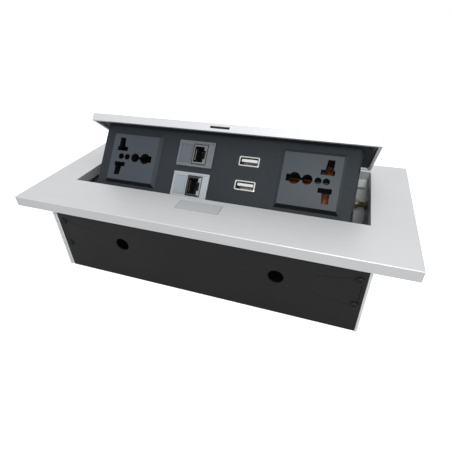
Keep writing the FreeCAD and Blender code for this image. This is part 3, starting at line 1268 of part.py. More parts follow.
def pair(name, shape):
    """Right-hand piece and its mirror image, as two nodes."""
    return {name + "_right": shape, name + "_left": mirrored(shape)}


def build():
    """All nodes by name, in the open position."""
    nodes = {
        "bezel_frame": bezel_frame(),
        "front_cover": front_cover(),
        "cover_screws": cover_screws(),
        "button_guide": button_guide(),
        "guide_screws": guide_screws(),
        "latch_spring": latch_spring(),
        "push_button": push_button(),
        "latch_bolt": latch_bolt(),
    }
    sunken = {
        "base_tray": base_tray(),
        "end_plate_right": end_plate(1),
        "end_plate_left": mirrored(end_plate(-1)),
        "bezel_nuts": bezel_nuts(),
        "tray_rivets": tray_rivets(),
        "earth_stud": earth_stud(),
        "pivot_nuts": pivot_nuts(),
    }
    sunken.update(pair("pivot_screw", pivot_screw()))
    sunken.update(pair("pivot_spacer", pivot_spacer()))
    sunken.update(pair("lid_spring", lid_spring()))
    nodes.update({name: moved(shape, shifted) for name, shape in sunken.items()})
    lid = {
        "lid_plate": lid_plate(),
        "lid_carrier": lid_carrier(),
        "lid_screws": lid_screws(),
    }
    unit = {
        "cheek_screws": cheek_screws(),
        "socket_panel": socket_panel(),
        "unit_tray": unit_tray(),
        "lead_grommets": lead_grommets(),
        "usb_board": usb_board(),
        "usb_converter": usb_converter(),
    }
    unit.update(pair("cheek", cheek()))
    unit.update(pair("pivot_bush", pivot_bush()))
    for name, (x, sign) in socket_centres().items():
        unit["socket_face_" + name] = socket_face(x, sign)
        unit["socket_body_" + name] = socket_body(x, sign)
        unit["socket_contacts_" + name] = socket_contacts(x, sign)
        unit["socket_terminals_" + name] = socket_terminals(x, sign)
    for name, depth in zip(("upper", "lower"), DATA_DEPTHS):
        unit["data_frame_" + name] = data_frame(depth)
        unit["data_label_" + name] = data_label(depth)
        unit["data_jack_" + name] = data_jack(depth)
        unit["jack_contacts_" + name] = jack_contacts(depth)
    for name, depth in zip(("upper", "lower"), USB_DEPTHS):
        unit["usb_shell_" + name] = usb_shell(depth)
        unit["usb_tongue_" + name] = usb_tongue(depth)
    for index, name in enumerate(("live", "neutral", "earth")):
        unit["wire_" + name] = jumper_wire(index)
    lid.update({name: moved(shape, shifted) for name, shape in unit.items()})
    nodes.update({name: moved(shape, opened) for name, shape in lid.items()})
    return nodes


def main():
    """Write one STEP file for each node."""
    os.makedirs("parts", exist_ok=True)
    for name, shape in build().items():
        solids = shape if isinstance(shape, list) else [shape]
        for solid in solids:
            if len(solid.Solids) != 1 or not solid.isValid():
                print("check", name, len(solid.Solids), solid.isValid())
        body = Part.makeCompound([piece.Solids[0] for piece in solids])
        body.exportStep("parts/" + name + ".step")
        bounds = body.BoundBox
        print(name, len(solids), round(body.Volume, 1), [round(v, 1) for v in (
            bounds.XMin, bounds.XMax, bounds.YMin, bounds.YMax, bounds.ZMin, bounds.ZMax)])


main()
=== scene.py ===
"""Looks of a flip-up desk socket box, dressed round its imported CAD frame."""

import json
import logging
import math
from dataclasses import dataclass
from enum import Enum
from typing import Any, Callable, Sequence

import bmesh
import bpy
from bpy.types import ID, Material, Mesh, NodeSocket, NodeTree, Object
from mathutils import Matrix, Vector

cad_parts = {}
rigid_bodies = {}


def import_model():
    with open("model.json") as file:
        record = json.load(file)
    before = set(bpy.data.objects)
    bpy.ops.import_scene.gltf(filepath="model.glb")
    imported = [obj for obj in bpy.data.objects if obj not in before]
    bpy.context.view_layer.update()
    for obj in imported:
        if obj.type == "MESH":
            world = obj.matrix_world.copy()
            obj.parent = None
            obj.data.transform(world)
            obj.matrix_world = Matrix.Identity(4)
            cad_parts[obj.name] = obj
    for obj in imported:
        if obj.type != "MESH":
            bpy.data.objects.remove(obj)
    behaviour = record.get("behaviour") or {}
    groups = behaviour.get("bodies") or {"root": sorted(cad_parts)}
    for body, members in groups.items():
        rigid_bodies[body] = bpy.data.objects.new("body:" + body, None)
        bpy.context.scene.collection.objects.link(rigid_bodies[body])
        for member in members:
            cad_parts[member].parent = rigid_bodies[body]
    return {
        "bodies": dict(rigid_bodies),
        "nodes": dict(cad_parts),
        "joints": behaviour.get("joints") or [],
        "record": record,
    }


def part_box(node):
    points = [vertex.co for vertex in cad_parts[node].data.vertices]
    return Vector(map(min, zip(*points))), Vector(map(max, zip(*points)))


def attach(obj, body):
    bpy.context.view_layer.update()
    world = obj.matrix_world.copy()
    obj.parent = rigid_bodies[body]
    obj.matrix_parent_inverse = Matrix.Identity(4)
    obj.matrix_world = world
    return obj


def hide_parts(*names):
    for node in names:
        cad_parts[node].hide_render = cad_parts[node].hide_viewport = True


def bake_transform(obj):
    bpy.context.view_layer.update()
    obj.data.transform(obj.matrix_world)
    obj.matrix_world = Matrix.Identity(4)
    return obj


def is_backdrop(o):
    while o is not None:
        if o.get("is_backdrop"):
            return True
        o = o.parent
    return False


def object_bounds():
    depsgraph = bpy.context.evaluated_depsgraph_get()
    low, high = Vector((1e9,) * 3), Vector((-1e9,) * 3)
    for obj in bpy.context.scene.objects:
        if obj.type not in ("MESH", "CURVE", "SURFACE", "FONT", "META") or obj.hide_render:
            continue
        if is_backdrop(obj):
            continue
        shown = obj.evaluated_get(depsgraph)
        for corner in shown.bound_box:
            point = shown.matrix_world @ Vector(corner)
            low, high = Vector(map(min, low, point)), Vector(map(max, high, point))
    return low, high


LOG = logging.getLogger("socket_box")
MM = 0.001
# Material index of a face from its centre and normal, and a head's direction from its solid's middle
Chooser = Callable[[Vector, Vector], int]
AxisOf = Callable[[Vector], Vector]
# Edges sharper than these are shaded hard, and eased
SMOOTH_ANGLE = math.radians(48.0)
EASED_ANGLE = math.radians(35.0)
# Normals follow the larger faces only
AREA_WEIGHT = 100
# Corners closer than this are one, and points this close to a head's top belong to its crown
MERGE_MM = 0.002
CROWN_MM = 0.05
# The sRGB curve: end and slope of its straight part, offset and power of the rest
SRGB_KNEE = 0.04045
SRGB_SLOPE = 12.92
SRGB_OFFSET = 0.055
SRGB_POWER = 2.4
# Usual reach of a noise field
NOISE_LOW = 0.3
NOISE_HIGH = 0.7
# Shares of a screw's radius at its thread root and at its tip
THREAD_ROOT = 0.88
TIP = 0.8
# Shares of a hexagon's half width over flats: past its corners, and at its chamfered rim of this height
HEX_REACH = 1.2
HEX_RIM = 0.96
HEX_CHAMFER_MM = 0.3


class Body(str, Enum):
    """Bodies of the CAD frame."""

    HOUSING = "housing"
    LID = "lid"
    BUTTON = "button"
    LATCH = "latch"


class Recess(Enum):
    """Drive recess of a screw head."""

    NONE = "none"
    CROSS = "cross"
    HEXAGON = "hexagon"


def linear_rgba(hex_code: str) -> tuple[float, float, float, float]:
    """Turns an sRGB hex colour into linear values.

    Args:
        hex_code: Colour such as "#A0B0C0".

    Returns:
        Linear red, green, blue and an alpha of 1.
    """
    channels = []
    for start in (1, 3, 5):
        value = int(hex_code[start:start + 2], 16) / 255.0
        curved = ((value + SRGB_OFFSET) / (1 + SRGB_OFFSET)) ** SRGB_POWER
        channels.append(value / SRGB_SLOPE if value <= SRGB_KNEE else curved)
    return channels[0], channels[1], channels[2], 1.0


def add_node(tree: NodeTree, kind: str, links: dict[Any, Any] | None = None, **settings: Any) -> Any:
    """Adds a node with its settings and links.

    Args:
        tree: Node tree that gets the node.
        kind: Type name of the node.
        links: Input name or index to a constant, or to the output socket that feeds it.
        settings: Attributes of the node.

    Returns:
        The new node.
    """
    node = tree.nodes.new(kind)
    for name, value in settings.items():
        setattr(node, name, value)
    for name, value in (links or {}).items():
        socket = node.inputs[name]
        if isinstance(value, NodeSocket):
            tree.links.new(value, socket)
        else:
            socket.default_value = value
    return node


@dataclass(frozen=True)
class Finish:
    """A real material with its surface: colours, gloss, and the sizes in millimetres of what varies on it."""

    name: str
    light: str
    dark: str
    metallic: float = 0.0
    roughness: tuple[float, float] = (0.4, 0.5)
    grain_mm: tuple[float, float, float] = (1.0, 1.0, 1.0)
    cloud_mm: float = 30.0
    cloud_share: float = 0.5
    bump_mm: float = 0.01
    coat: float = 0.0
    specular: float = 0.5
    grain_detail: float = 3.0
    bump_strength: float = 0.6

    def noise(self, tree: NodeTree, size_mm: Sequence[float], detail: float = 2.0) -> Any:
        """Noise on the piece's own coordinates, with cells of a real size.

        Args:
            tree: Tree of the material.
            size_mm: Cell size along X, Y and Z.
            detail: Octaves of the noise.

        Returns:
            The output socket, about 0.3 to 0.7.
        """
        place = add_node(tree, "ShaderNodeTexCoord").outputs["Object"]
        scale = tuple(1.0 / (size * MM) for size in size_mm)
        turned = add_node(tree, "ShaderNodeMapping", {"Vector": place, "Scale": scale}).outputs[0]
        fields = {"Vector": turned, "Scale": 1.0, "Detail": detail}
        return add_node(tree, "ShaderNodeTexNoise", fields).outputs[0]

    def spread(self, tree: NodeTree, value: Any, low: float, high: float) -> Any:
        """Output socket of a noise socket mapped to the range from low to high."""
        links = {"Value": value, "From Min": NOISE_LOW, "From Max": NOISE_HIGH, "To Min": low, "To Max": high}
        return add_node(tree, "ShaderNodeMapRange", links).outputs[0]

    def pattern(self, tree: NodeTree) -> tuple[Any, Any]:
        """Sockets of fine grain and broad cloud; a finish with a pattern of its own overrides this."""
        return self.noise(tree, self.grain_mm, self.grain_detail), self.noise(tree, (self.cloud_mm,) * 3)

    def material(self) -> Material:
        """The finish as a material, made once."""
        found = bpy.data.materials.get(self.name)
        if found:
            return found
        material = bpy.data.materials.new(self.name)
        tree = empty_tree(material)
        grain, cloud = self.pattern(tree)
        fields = {"Factor": self.cloud_share, "A": grain, "B": cloud}
        mixed = add_node(tree, "ShaderNodeMix", fields).outputs[0]
        share = self.spread(tree, mixed, 0.0, 1.0)
        colour = add_node(tree, "ShaderNodeMix", {"Factor": share}, data_type="RGBA")
        colour.inputs["A"].default_value = linear_rgba(self.dark)
        colour.inputs["B"].default_value = linear_rgba(self.light)
        rough = self.spread(tree, mixed, self.roughness[1], self.roughness[0])
        bump = add_node(tree, "ShaderNodeBump", {"Height": grain, "Distance": self.bump_mm * MM,
                                                 "Strength": self.bump_strength})
        shader = add_node(tree, "ShaderNodeBsdfPrincipled", {
            "Base Color": colour.outputs["Result"], "Roughness": rough, "Metallic": self.metallic,
            "Normal": bump.outputs[0], "Coat Weight": self.coat, "Specular IOR Level": self.specular})
        add_node(tree, "ShaderNodeOutputMaterial", {"Surface": shader.outputs[0]})
        return material


@dataclass(frozen=True)
class SpangledZinc(Finish):
    """Hot-dip galvanised sheet: crystals a few millimetres wide, each with its own tone."""

    spangle_mm: float = 5.0

    def pattern(self, tree: NodeTree) -> tuple[Any, Any]:
        """Rolling grain with the crystals as the broad field."""
        place = add_node(tree, "ShaderNodeTexCoord").outputs["Object"]
        cells = {"Vector": place, "Scale": 1.0 / (self.spangle_mm * MM)}
        crystals = add_node(tree, "ShaderNodeTexVoronoi", cells).outputs["Color"]
        tone = add_node(tree, "ShaderNodeSeparateColor", {"Color": crystals}).outputs[0]
        reach = {"Value": tone, "To Min": NOISE_LOW, "To Max": NOISE_HIGH}
        cloud = add_node(tree, "ShaderNodeMapRange", reach).outputs[0]
        return self.noise(tree, self.grain_mm, self.grain_detail), cloud


@dataclass(frozen=True)
class Finishes:
    """All finishes of the box, with their values in the order of Finish."""

    # Anodised aluminium, brushed lengthways and dulled: a silky, nearly even silver
    anodised: Finish = Finish(
        "satin_anodised_aluminium", "#DADCDE", "#D0D2D4", 0.55, (0.42, 0.52), (40.0, 0.5, 0.5), 60.0, 0.4,
        0.006)
    # The button's aluminium, blasted before anodising: a shade darker and duller
    button: Finish = Finish(
        "blasted_anodised_aluminium", "#C4C6C9", "#B9BBBE", 0.5, (0.48, 0.58), (0.6,) * 3, 20.0, 0.5, 0.006)
    # Hot-dip galvanised steel, dulled by its oxide: cool grey with faint crystals and rolling lines
    galvanised: Finish = SpangledZinc(
        "galvanised_steel_sheet", "#F2F5F6", "#E6EAEC", 0.1, (0.42, 0.56), (12.0, 0.6, 12.0), 20.0, 0.55,
        0.008)
    # Polyester powder coat on steel: blue-black satin with a fine orange peel
    powder: Finish = Finish(
        "black_powder_coated_steel", "#2A2F34", "#24292D", 0.0, (0.52, 0.62), (1.6,) * 3, 45.0, 0.5, 0.012,
        specular=0.22)
    # Stoved lacquer on steel: a dull neutral black
    lacquer: Finish = Finish(
        "black_lacquered_steel", "#202021", "#1B1B1C", 0.0, (0.5, 0.6), (1.2,) * 3, 60.0, 0.5, 0.008,
        specular=0.25)
    # Painted shade for the tray's floor: a dull, deep black that stands for the shade deep in the box
    painted_shade_black: Finish = Finish(
        "black_floor_painted_shade", "#0C0C0D", "#080809", 0.0, (0.7, 0.85), (2.0,) * 3, 30.0, 0.5, 0.02,
        specular=0.2)
    # Polycarbonate, moulded dark grey with a light spark-eroded texture
    socket_grey: Finish = Finish(
        "moulded_grey_polycarbonate", "#42494F", "#3A4147", 0.0, (0.42, 0.54), (0.9,) * 3, 25.0, 0.5, 0.01,
        specular=0.3)
    # Black moulded plastic: dull, with a little mottle; also laid as black painted shade in holes, cavities
    # and shells
    black_plastic: Finish = Finish(
        "moulded_black_abs_and_painted_shade", "#1B1C1E", "#131416", 0.0, (0.4, 0.55), (0.8,) * 3, 20.0, 0.5, 0.01)
    # Lower port's frame in silver-painted plastic: metal flakes in a satin film
    silver_abs: Finish = Finish(
        "silver_painted_abs", "#B0B6BC", "#A3A9AF", 0.1, (0.35, 0.48), (0.7,) * 3, 12.0, 0.5, 0.008)
    # Upper port's frame: the same silver paint, darker by painted shade under the lid
    silver_abs_painted_shade: Finish = Finish(
        "silver_painted_abs_in_shade", "#6F757A", "#63696E", 0.1, (0.35, 0.48), (0.7,) * 3, 12.0, 0.5, 0.008)
    # Upper jack's housing in pale grey polycarbonate, darker by painted shade under the lid: neutral and half
    # glossy
    jack_grey_painted_shade: Finish = Finish(
        "pale_grey_polycarbonate_in_shade", "#74777A", "#686B6E", 0.0, (0.45, 0.55), (0.8,) * 3, 10.0, 0.5, 0.006)
    # Bare card of the lower port: matt with paper fibre
    label: Finish = Finish(
        "bare_label_card", "#9CA3AB", "#8F969E", 0.0, (0.5, 0.62), (0.25,) * 3, 10.0, 0.4, 0.004)
    # Bare card of the upper port, darker by painted shade under the lid
    label_painted_shade: Finish = Finish(
        "bare_label_card_in_shade", "#5F656C", "#555B62", 0.0, (0.5, 0.62), (0.25,) * 3, 10.0, 0.4, 0.004)
    # Zinc plating with a yellow chromate: bright with a warm tint
    zinc: Finish = Finish(
        "yellow_zinc_plated_steel", "#C9C3A6", "#B3AB8A", 1.0, (0.25, 0.42), (0.5,) * 3, 5.0, 0.5, 0.004)
    # Blackened steel: dark with an oily gloss
    black_screw: Finish = Finish(
        "blackened_screw_steel", "#3A3C3F", "#2A2B2E", 0.8, (0.35, 0.5), (0.4,) * 3, 4.0, 0.5, 0.004)
    # Drawn spring wire: grey, with draw marks under oil
    spring: Finish = Finish(
        "drawn_spring_wire", "#8D9196", "#6F7378", 1.0, (0.24, 0.4), (0.4,) * 3, 4.0, 0.5, 0.003)
    # Stamped phosphor bronze deep in the slots: near-black painted shade with patches of orange-brown painted
    # glint
    bronze_painted_shade: Finish = Finish(
        "phosphor_bronze_painted_shade_and_glints", "#4E2B19", "#0E0908", 1.0, (0.25, 0.42), (1.6,) * 3, 4.0, 0.5, 0.004)
    # Gold plating on a sprung wire: warm and smooth
    gilt: Finish = Finish(
        "gilded_contact_wire", "#A89A6C", "#8C7F55", 0.3, (0.25, 0.38), (0.5,) * 3, 3.0, 0.5, 0.002)
    # Thin flash of gold over nickel: a pale beige
    flash_gilt: Finish = Finish(
        "flash_gilded_contact_wire", "#D6CDB4", "#BFB59B", 0.3, (0.3, 0.42), (0.5,) * 3, 3.0, 0.5, 0.002)
    # Nickel on deep-drawn steel: bright, with draw lines along the shell
    nickel: Finish = Finish(
        "nickel_plated_shell", "#C8C8C4", "#B4B4B0", 1.0, (0.18, 0.3), (6.0, 0.4, 0.4), 6.0, 0.4, 0.003)
    # Natural nylon: milky white and waxy
    nylon: Finish = Finish(
        "natural_nylon", "#EEF0F1", "#DFE1E2", 0.0, (0.35, 0.45), (0.8,) * 3, 8.0, 0.5, 0.004)
    # Moulded rubber: deep matt black with a bloom
    rubber: Finish = Finish(
        "moulded_black_rubber", "#1E1E1F", "#151516", 0.0, (0.6, 0.75), (0.5,) * 3, 8.0, 0.5, 0.01,
        specular=0.3)
    # Solder mask over glass fibre: glossy green with the weave below
    board: Finish = Finish(
        "green_solder_mask", "#1F5A35", "#174526", 0.0, (0.25, 0.35), (0.6,) * 3, 6.0, 0.5, 0.004, coat=0.3)
    # Extruded PVC insulation in brown: smooth and half glossy
    brown_pvc: Finish = Finish(
        "brown_pvc_insulation", "#6A3E22", "#5A3219", 0.0, (0.35, 0.45), (0.6,) * 3, 12.0, 0.5, 0.006)
    # The same insulation in blue
    blue_pvc: Finish = Finish(
        "blue_pvc_insulation", "#2A5CA8", "#214C90", 0.0, (0.35, 0.45), (0.6,) * 3, 12.0, 0.5, 0.006)
    # The same insulation in green with yellow
    green_pvc: Finish = Finish(
        "green_yellow_pvc_insulation", "#5E9A2C", "#4E8422", 0.0, (0.35, 0.45), (0.6,) * 3, 12.0, 0.5, 0.006)


FINISH = Finishes()


def empty_tree(owner: ID) -> NodeTree:
    """Node tree of a material or a world, emptied."""
    owner.use_nodes = True
    owner.node_tree.nodes.clear()
    return owner.node_tree


def linked(name: str, data: ID) -> Object:
    """New object of a mesh, a lamp or a camera, linked to the scene."""
    thing = bpy.data.objects.new(name, data)
    bpy.context.scene.collection.objects.link(thing)
    return thing


def plain_mesh(name: str, shape: bmesh.types.BMesh) -> Mesh:
    """Mesh of a shape, which is freed."""
    mesh = bpy.data.meshes.new(name)
    shape.to_mesh(mesh)
    shape.free()
    return mesh


def corners_of(points: Sequence[Vector]) -> tuple[Vector, Vector]:
    """Lowest and highest corner of the box round some points."""
    low = Vector([min(point[axis] for point in points) for axis in range(3)])
    return low, Vector([max(point[axis] for point in points) for axis in range(3)])


def new_piece(name: str, mesh: Mesh, body: Body, slot: str, finishes: Sequence[Finish],
              replaced: Sequence[str] = (), rides: bool = True) -> Object:
    """Links a finished mesh as a piece that rides on a body.

    Args:
        name: Name of the piece.
        mesh: Mesh in the row frame.
        body: Body that carries it.
        slot: Material slot of the record; not used.
        finishes: Finishes in material order, or none to keep the mesh's own.
        replaced: CAD nodes that the piece stands for.
        rides: Whether it rides on the body, or is left on no body by the caller.

    Returns:
        The new object.
    """
    piece = linked(name, mesh)
    if finishes:
        mesh.materials.clear()
        for finish in finishes:
            mesh.materials.append(finish.material())
    if not mesh.has_custom_normals:
        mesh.shade_smooth()
        mesh.set_sharp_from_angle(angle=SMOOTH_ANGLE)
    if replaced:
        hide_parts(*replaced)
    if rides:
        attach(piece, body.value)
    LOG.info("piece %s on %s: %d faces", name, body.value, len(mesh.polygons))
    return piece


def evaluated(source: Object, name: str) -> Mesh:
    """Mesh of an object with its modifiers applied; the object itself is removed.

    Args:
        source: Scratch object.
        name: Name of the new mesh.

    Returns:
        A plain mesh.
    """
    graph = bpy.context.evaluated_depsgraph_get()
    mesh = bpy.data.meshes.new_from_object(source.evaluated_get(graph), depsgraph=graph)
    mesh.name = name
    bpy.data.objects.remove(source)
    return mesh


def flat_faced(mesh: Mesh, name: str) -> Mesh:
    """Smooth shading that leaves flat faces flat beside their eased edges.

    Args:
        mesh: Mesh with eased edges; it is removed.
        name: Name of the new mesh.

    Returns:
        A mesh with weighted normals.
    """
    mesh.shade_smooth()
    mesh.set_sharp_from_angle(angle=SMOOTH_ANGLE)
    scratch = linked(name + "_scratch", mesh)
    weighted = scratch.modifiers.new("weighted_normals", "WEIGHTED_NORMAL")
    weighted.keep_sharp = True
    weighted.weight = AREA_WEIGHT
    final = evaluated(scratch, name)
    bpy.data.meshes.remove(mesh)
    return final


def tube_mesh(name: str, path: Sequence[Vector], radius: float, sides: int = 12) -> Mesh:
    """Round wire along a path, closed at both ends.

    Args:
        name: Name of the mesh.
        path: Points of its middle line, in metres.
        radius: Radius of the wire, in metres.
        sides: Sides of its section.

    Returns:
        A closed mesh.
    """
    mesh = bmesh.new()
    side = (path[1] - path[0]).orthogonal().normalized()
    rings = []
    for index, point in enumerate(path):
        after = path[min(index + 1, len(path) - 1)]
        before = path[max(index - 1, 0)]
        along = (after - before).normalized()
        side = (side - along * side.dot(along)).normalized()
        other = along.cross(side)
        ring = []
        for step in range(sides):
            turn = 2 * math.pi * step / sides
            ring.append(mesh.verts.new(point + (side * math.cos(turn) + other * math.sin(turn)) * radius))
        rings.append(ring)
    for below, above in zip(rings, rings[1:]):
        for step in range(sides):
            after = (step + 1) % sides
            mesh.faces.new((below[step], below[after], above[after], above[step]))
    mesh.faces.new(list(reversed(rings[0])))
    mesh.faces.new(rings[-1])
    bmesh.ops.recalc_face_normals(mesh, faces=mesh.faces)
    return plain_mesh(name, mesh)


class BoxFrame:
    """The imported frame, with the hinge of the flip-up unit."""

    def __init__(self) -> None:
        """Loads the frame and reads the hinge."""
        self.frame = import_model()
        self.start_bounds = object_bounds()
        hinge = next(joint for joint in self.frame["joints"] if joint["name"] == "lid_flip")
        self.pivot = Vector(hinge["pos_m"])
        self.open_angle = math.radians(hinge["range_deg"][1])
        turn = Matrix.Rotation(-self.open_angle, 4, "X")
        self.opening = Matrix.Translation(self.pivot) @ turn @ Matrix.Translation(-self.pivot)
        self.closing = self.opening.inverted()

    def node(self, name: str) -> Object:
        """CAD object of a node."""
        return self.frame["nodes"][name]

    def direction(self, closed: Sequence[float]) -> Vector:
        """Direction on the flip-up unit, given as if it were closed."""
        return self.opening.to_3x3() @ Vector(closed)

    def closed_box(self, name: str) -> tuple[Vector, Vector]:
        """Lowest and highest corner of a flip-up node in the closed position."""
        return corners_of([self.closing @ vertex.co for vertex in self.node(name).data.vertices])

    def openings(self, name: str, rim_mm: float, depth_mm: float) -> Chooser:
        """Second material for all that lies within a node's outline and behind its front.

        Args:
            name: Node name.
            rim_mm: Border that does not count.
            depth_mm: Depth behind the front that does not count.

        Returns:
            A chooser that gives 1 for the walls and floor of the openings, else 0.
        """
        low, high = self.closed_box(name)
        rim = rim_mm * MM
        front = low.y + depth_mm * MM

        def choose(centre: Vector, _normal: Vector) -> int:
            """1 in an opening, else 0."""
            place = self.closing @ centre
            across = low.x + rim < place.x < high.x - rim
            return int(across and low.z + rim < place.z < high.z - rim and place.y > front)

        return choose

    def merged(self, name: str) -> bmesh.types.BMesh:
        """Copy of a CAD node's triangles with shared corners.

        Args:
            name: Node name.

        Returns:
            A mesh that the caller frees.
        """
        mesh = bmesh.new()
        mesh.from_mesh(self.node(name).data)
        bmesh.ops.remove_doubles(mesh, verts=mesh.verts, dist=MERGE_MM * MM)
        return mesh

    def loose_parts(self, name: str) -> list[list[Vector]]:
        """Points of each separate solid in a node.

        Args:
            name: Node name.

        Returns:
            One list of points per solid.
        """
        mesh = self.merged(name)
        mesh.verts.ensure_lookup_table()
        seen: set[int] = set()
        parts = []
        for first in mesh.verts:
            if first.index in seen:
                continue
            seen.add(first.index)
            stack = [first]
            part = []
            while stack:
                vertex = stack.pop()
                part.append(vertex.co.copy())
                for edge in vertex.link_edges:
                    other = edge.other_vert(vertex)
                    if other.index not in seen:
                        seen.add(other.index)
                        stack.append(other)
            parts.append(part)
        mesh.free()
        return parts

    def refined(self, name: str, body: Body, slot: str, bevel_mm: float, *finishes: Finish,
                choose: Chooser | None = None, segments: int = 2) -> Object:
        """A copy of a CAD node with eased edges, which stands for the node.

        Args:
            name: Node name.
            body: Body that carries it.
            slot: Material slot of the record.
            bevel_mm: Width of the eased edges.
            finishes: Finishes in material order.
            choose: Gives the material index for a face's centre and normal.
            segments: Segments of the eased edge.

        Returns:
            The new piece.
        """
        scratch = linked(name + "_scratch", plain_mesh(name + "_scratch", self.merged(name)))
        bevel = scratch.modifiers.new("eased_edges", "BEVEL")
        bevel.width = bevel_mm * MM
        bevel.segments = segments
        bevel.limit_method = "ANGLE"
        bevel.angle_limit = EASED_ANGLE
        bevel.use_clamp_overlap = True
        final = flat_faced(evaluated(scratch, name + "_eased"), name + "_finished")
        piece = new_piece(name + "_finished", final, body, slot, finishes, (name,))
        if choose:
            for face in final.polygons:
                face.material_index = choose(face.center, face.normal)
        return piece


@dataclass
class Studio:
    """Camera of the photograph, plain lamps, pale floor and white surroundings; lamps are in metres."""

    lens_mm: float = 27.21
    sensor_mm: float = 36.0
    clip_m: tuple[float, float] = (0.005, 60.0)
    camera_mm: tuple[float, float, float] = (80.17, -204.97, 176.44)
    camera_turn_deg: tuple[float, float, float] = (55.394, 1.482, 19.175)
    floor_side_m: float = 24.0
    floor_drop_mm: float = 0.2
    floor_glow: float = 0.75
    white: str = "#FFFFFF"
    paper_colour: str = "#F2F2F2"
    table_colour: str = "#A0A0A0"
    world_strength: float = 0.3
    aim: tuple[float, float, float] = (0.0, 0.0, 0.05)
    overhead: tuple[float, float, float] = (0.15, 0.1, 1.1)
    overhead_side: float = 0.9
    overhead_watts: float = 3.0
    front: tuple[float, float, float] = (0.18, -0.8, 0.66)
    front_side: float = 0.35
    front_watts: float = 5.6

    def camera(self) -> None:
        """Places the camera."""
        data = bpy.data.cameras.new("photo_camera")
        data.lens = self.lens_mm
        data.sensor_width = self.sensor_mm
        data.clip_start, data.clip_end = self.clip_m
        camera = linked("photo_camera", data)
        camera.location = [value * MM for value in self.camera_mm]
        camera.rotation_euler = [math.radians(value) for value in self.camera_turn_deg]
        bpy.context.scene.camera = camera

    def shown(self, tree: NodeTree) -> Any:
        """Socket that is 1 for rays of the camera, of gloss and through glass, else 0."""
        path = add_node(tree, "ShaderNodeLightPath").outputs
        seen = path["Is Camera Ray"]
        for ray in ("Is Glossy Ray", "Is Transmission Ray"):
            seen = add_node(tree, "ShaderNodeMath", {0: seen, 1: path[ray]}, operation="MAXIMUM").outputs[0]
        return seen

    def world(self) -> None:
        """Even surroundings, shown white to the camera and in reflections."""
        world = bpy.data.worlds.new("white_surroundings")
        bpy.context.scene.world = world
        tree = empty_tree(world)
        shades = {0: self.shown(tree)}
        for index, strength in ((1, self.world_strength), (2, 1.0)):
            shade = {"Color": linear_rgba(self.white), "Strength": strength}
            shades[index] = add_node(tree, "ShaderNodeBackground", shade).outputs[0]
        mix = add_node(tree, "ShaderNodeMixShader", shades)
        add_node(tree, "ShaderNodeOutputWorld", {"Surface": mix.outputs[0]})

    def floor(self) -> None:
        """Pale floor under the box."""
        half = self.floor_side_m / 2
        mesh = bpy.data.meshes.new("pale_floor")
        level = -self.floor_drop_mm * MM
        corners = [(-half, -half, level), (half, -half, level), (half, half, level), (-half, half, level)]
        mesh.from_pydata(corners, [], [(0, 1, 2, 3)])
        floor = linked("pale_floor", mesh)
        material = bpy.data.materials.new("pale_floor_paper")
        tree = empty_tree(material)
        path = add_node(tree, "ShaderNodeLightPath")
        paper = add_node(tree, "ShaderNodeBsdfDiffuse", {"Color": linear_rgba(self.paper_colour)})
        table = add_node(tree, "ShaderNodeBsdfDiffuse", {"Color": linear_rgba(self.table_colour)})
        glow = add_node(tree, "ShaderNodeEmission", {"Color": linear_rgba(self.white),
                                                     "Strength": self.floor_glow})
        lifted = add_node(tree, "ShaderNodeAddShader", {0: paper.outputs[0], 1: glow.outputs[0]})
        unseen = add_node(tree, "ShaderNodeMixShader", {
            0: path.outputs["Is Glossy Ray"], 1: table.outputs[0], 2: paper.outputs[0]})
        mix = add_node(tree, "ShaderNodeMixShader", {
            0: path.outputs["Is Camera Ray"], 1: unseen.outputs[0], 2: lifted.outputs[0]})
        add_node(tree, "ShaderNodeOutputMaterial", {"Surface": mix.outputs[0]})
        mesh.materials.append(material)
        floor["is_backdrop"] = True

    def lamp(self, name: str, place: Sequence[float], side: float, watts: float) -> None:
        """A square softbox that points at the box.

        Args:
            name: Lamp name.
            place: Where it hangs.
            side: Side of its square.
            watts: Power.
        """
        data = bpy.data.lights.new(name, "AREA")
        data.shape = "SQUARE"
        data.size = side
        data.energy = watts
        lamp = linked(name, data)
        lamp.location = place
        lamp.rotation_euler = (Vector(self.aim) - Vector(place)).to_track_quat("-Z", "Y").to_euler()

    def build(self) -> None:
        """Sets up the whole studio."""
        self.camera()
        self.world()
        self.floor()
        self.lamp("overhead_softbox", self.overhead, self.overhead_side, self.overhead_watts)
        self.lamp("front_softbox", self.front, self.front_side, self.front_watts)
        bpy.context.scene.view_settings.view_transform = "Standard"


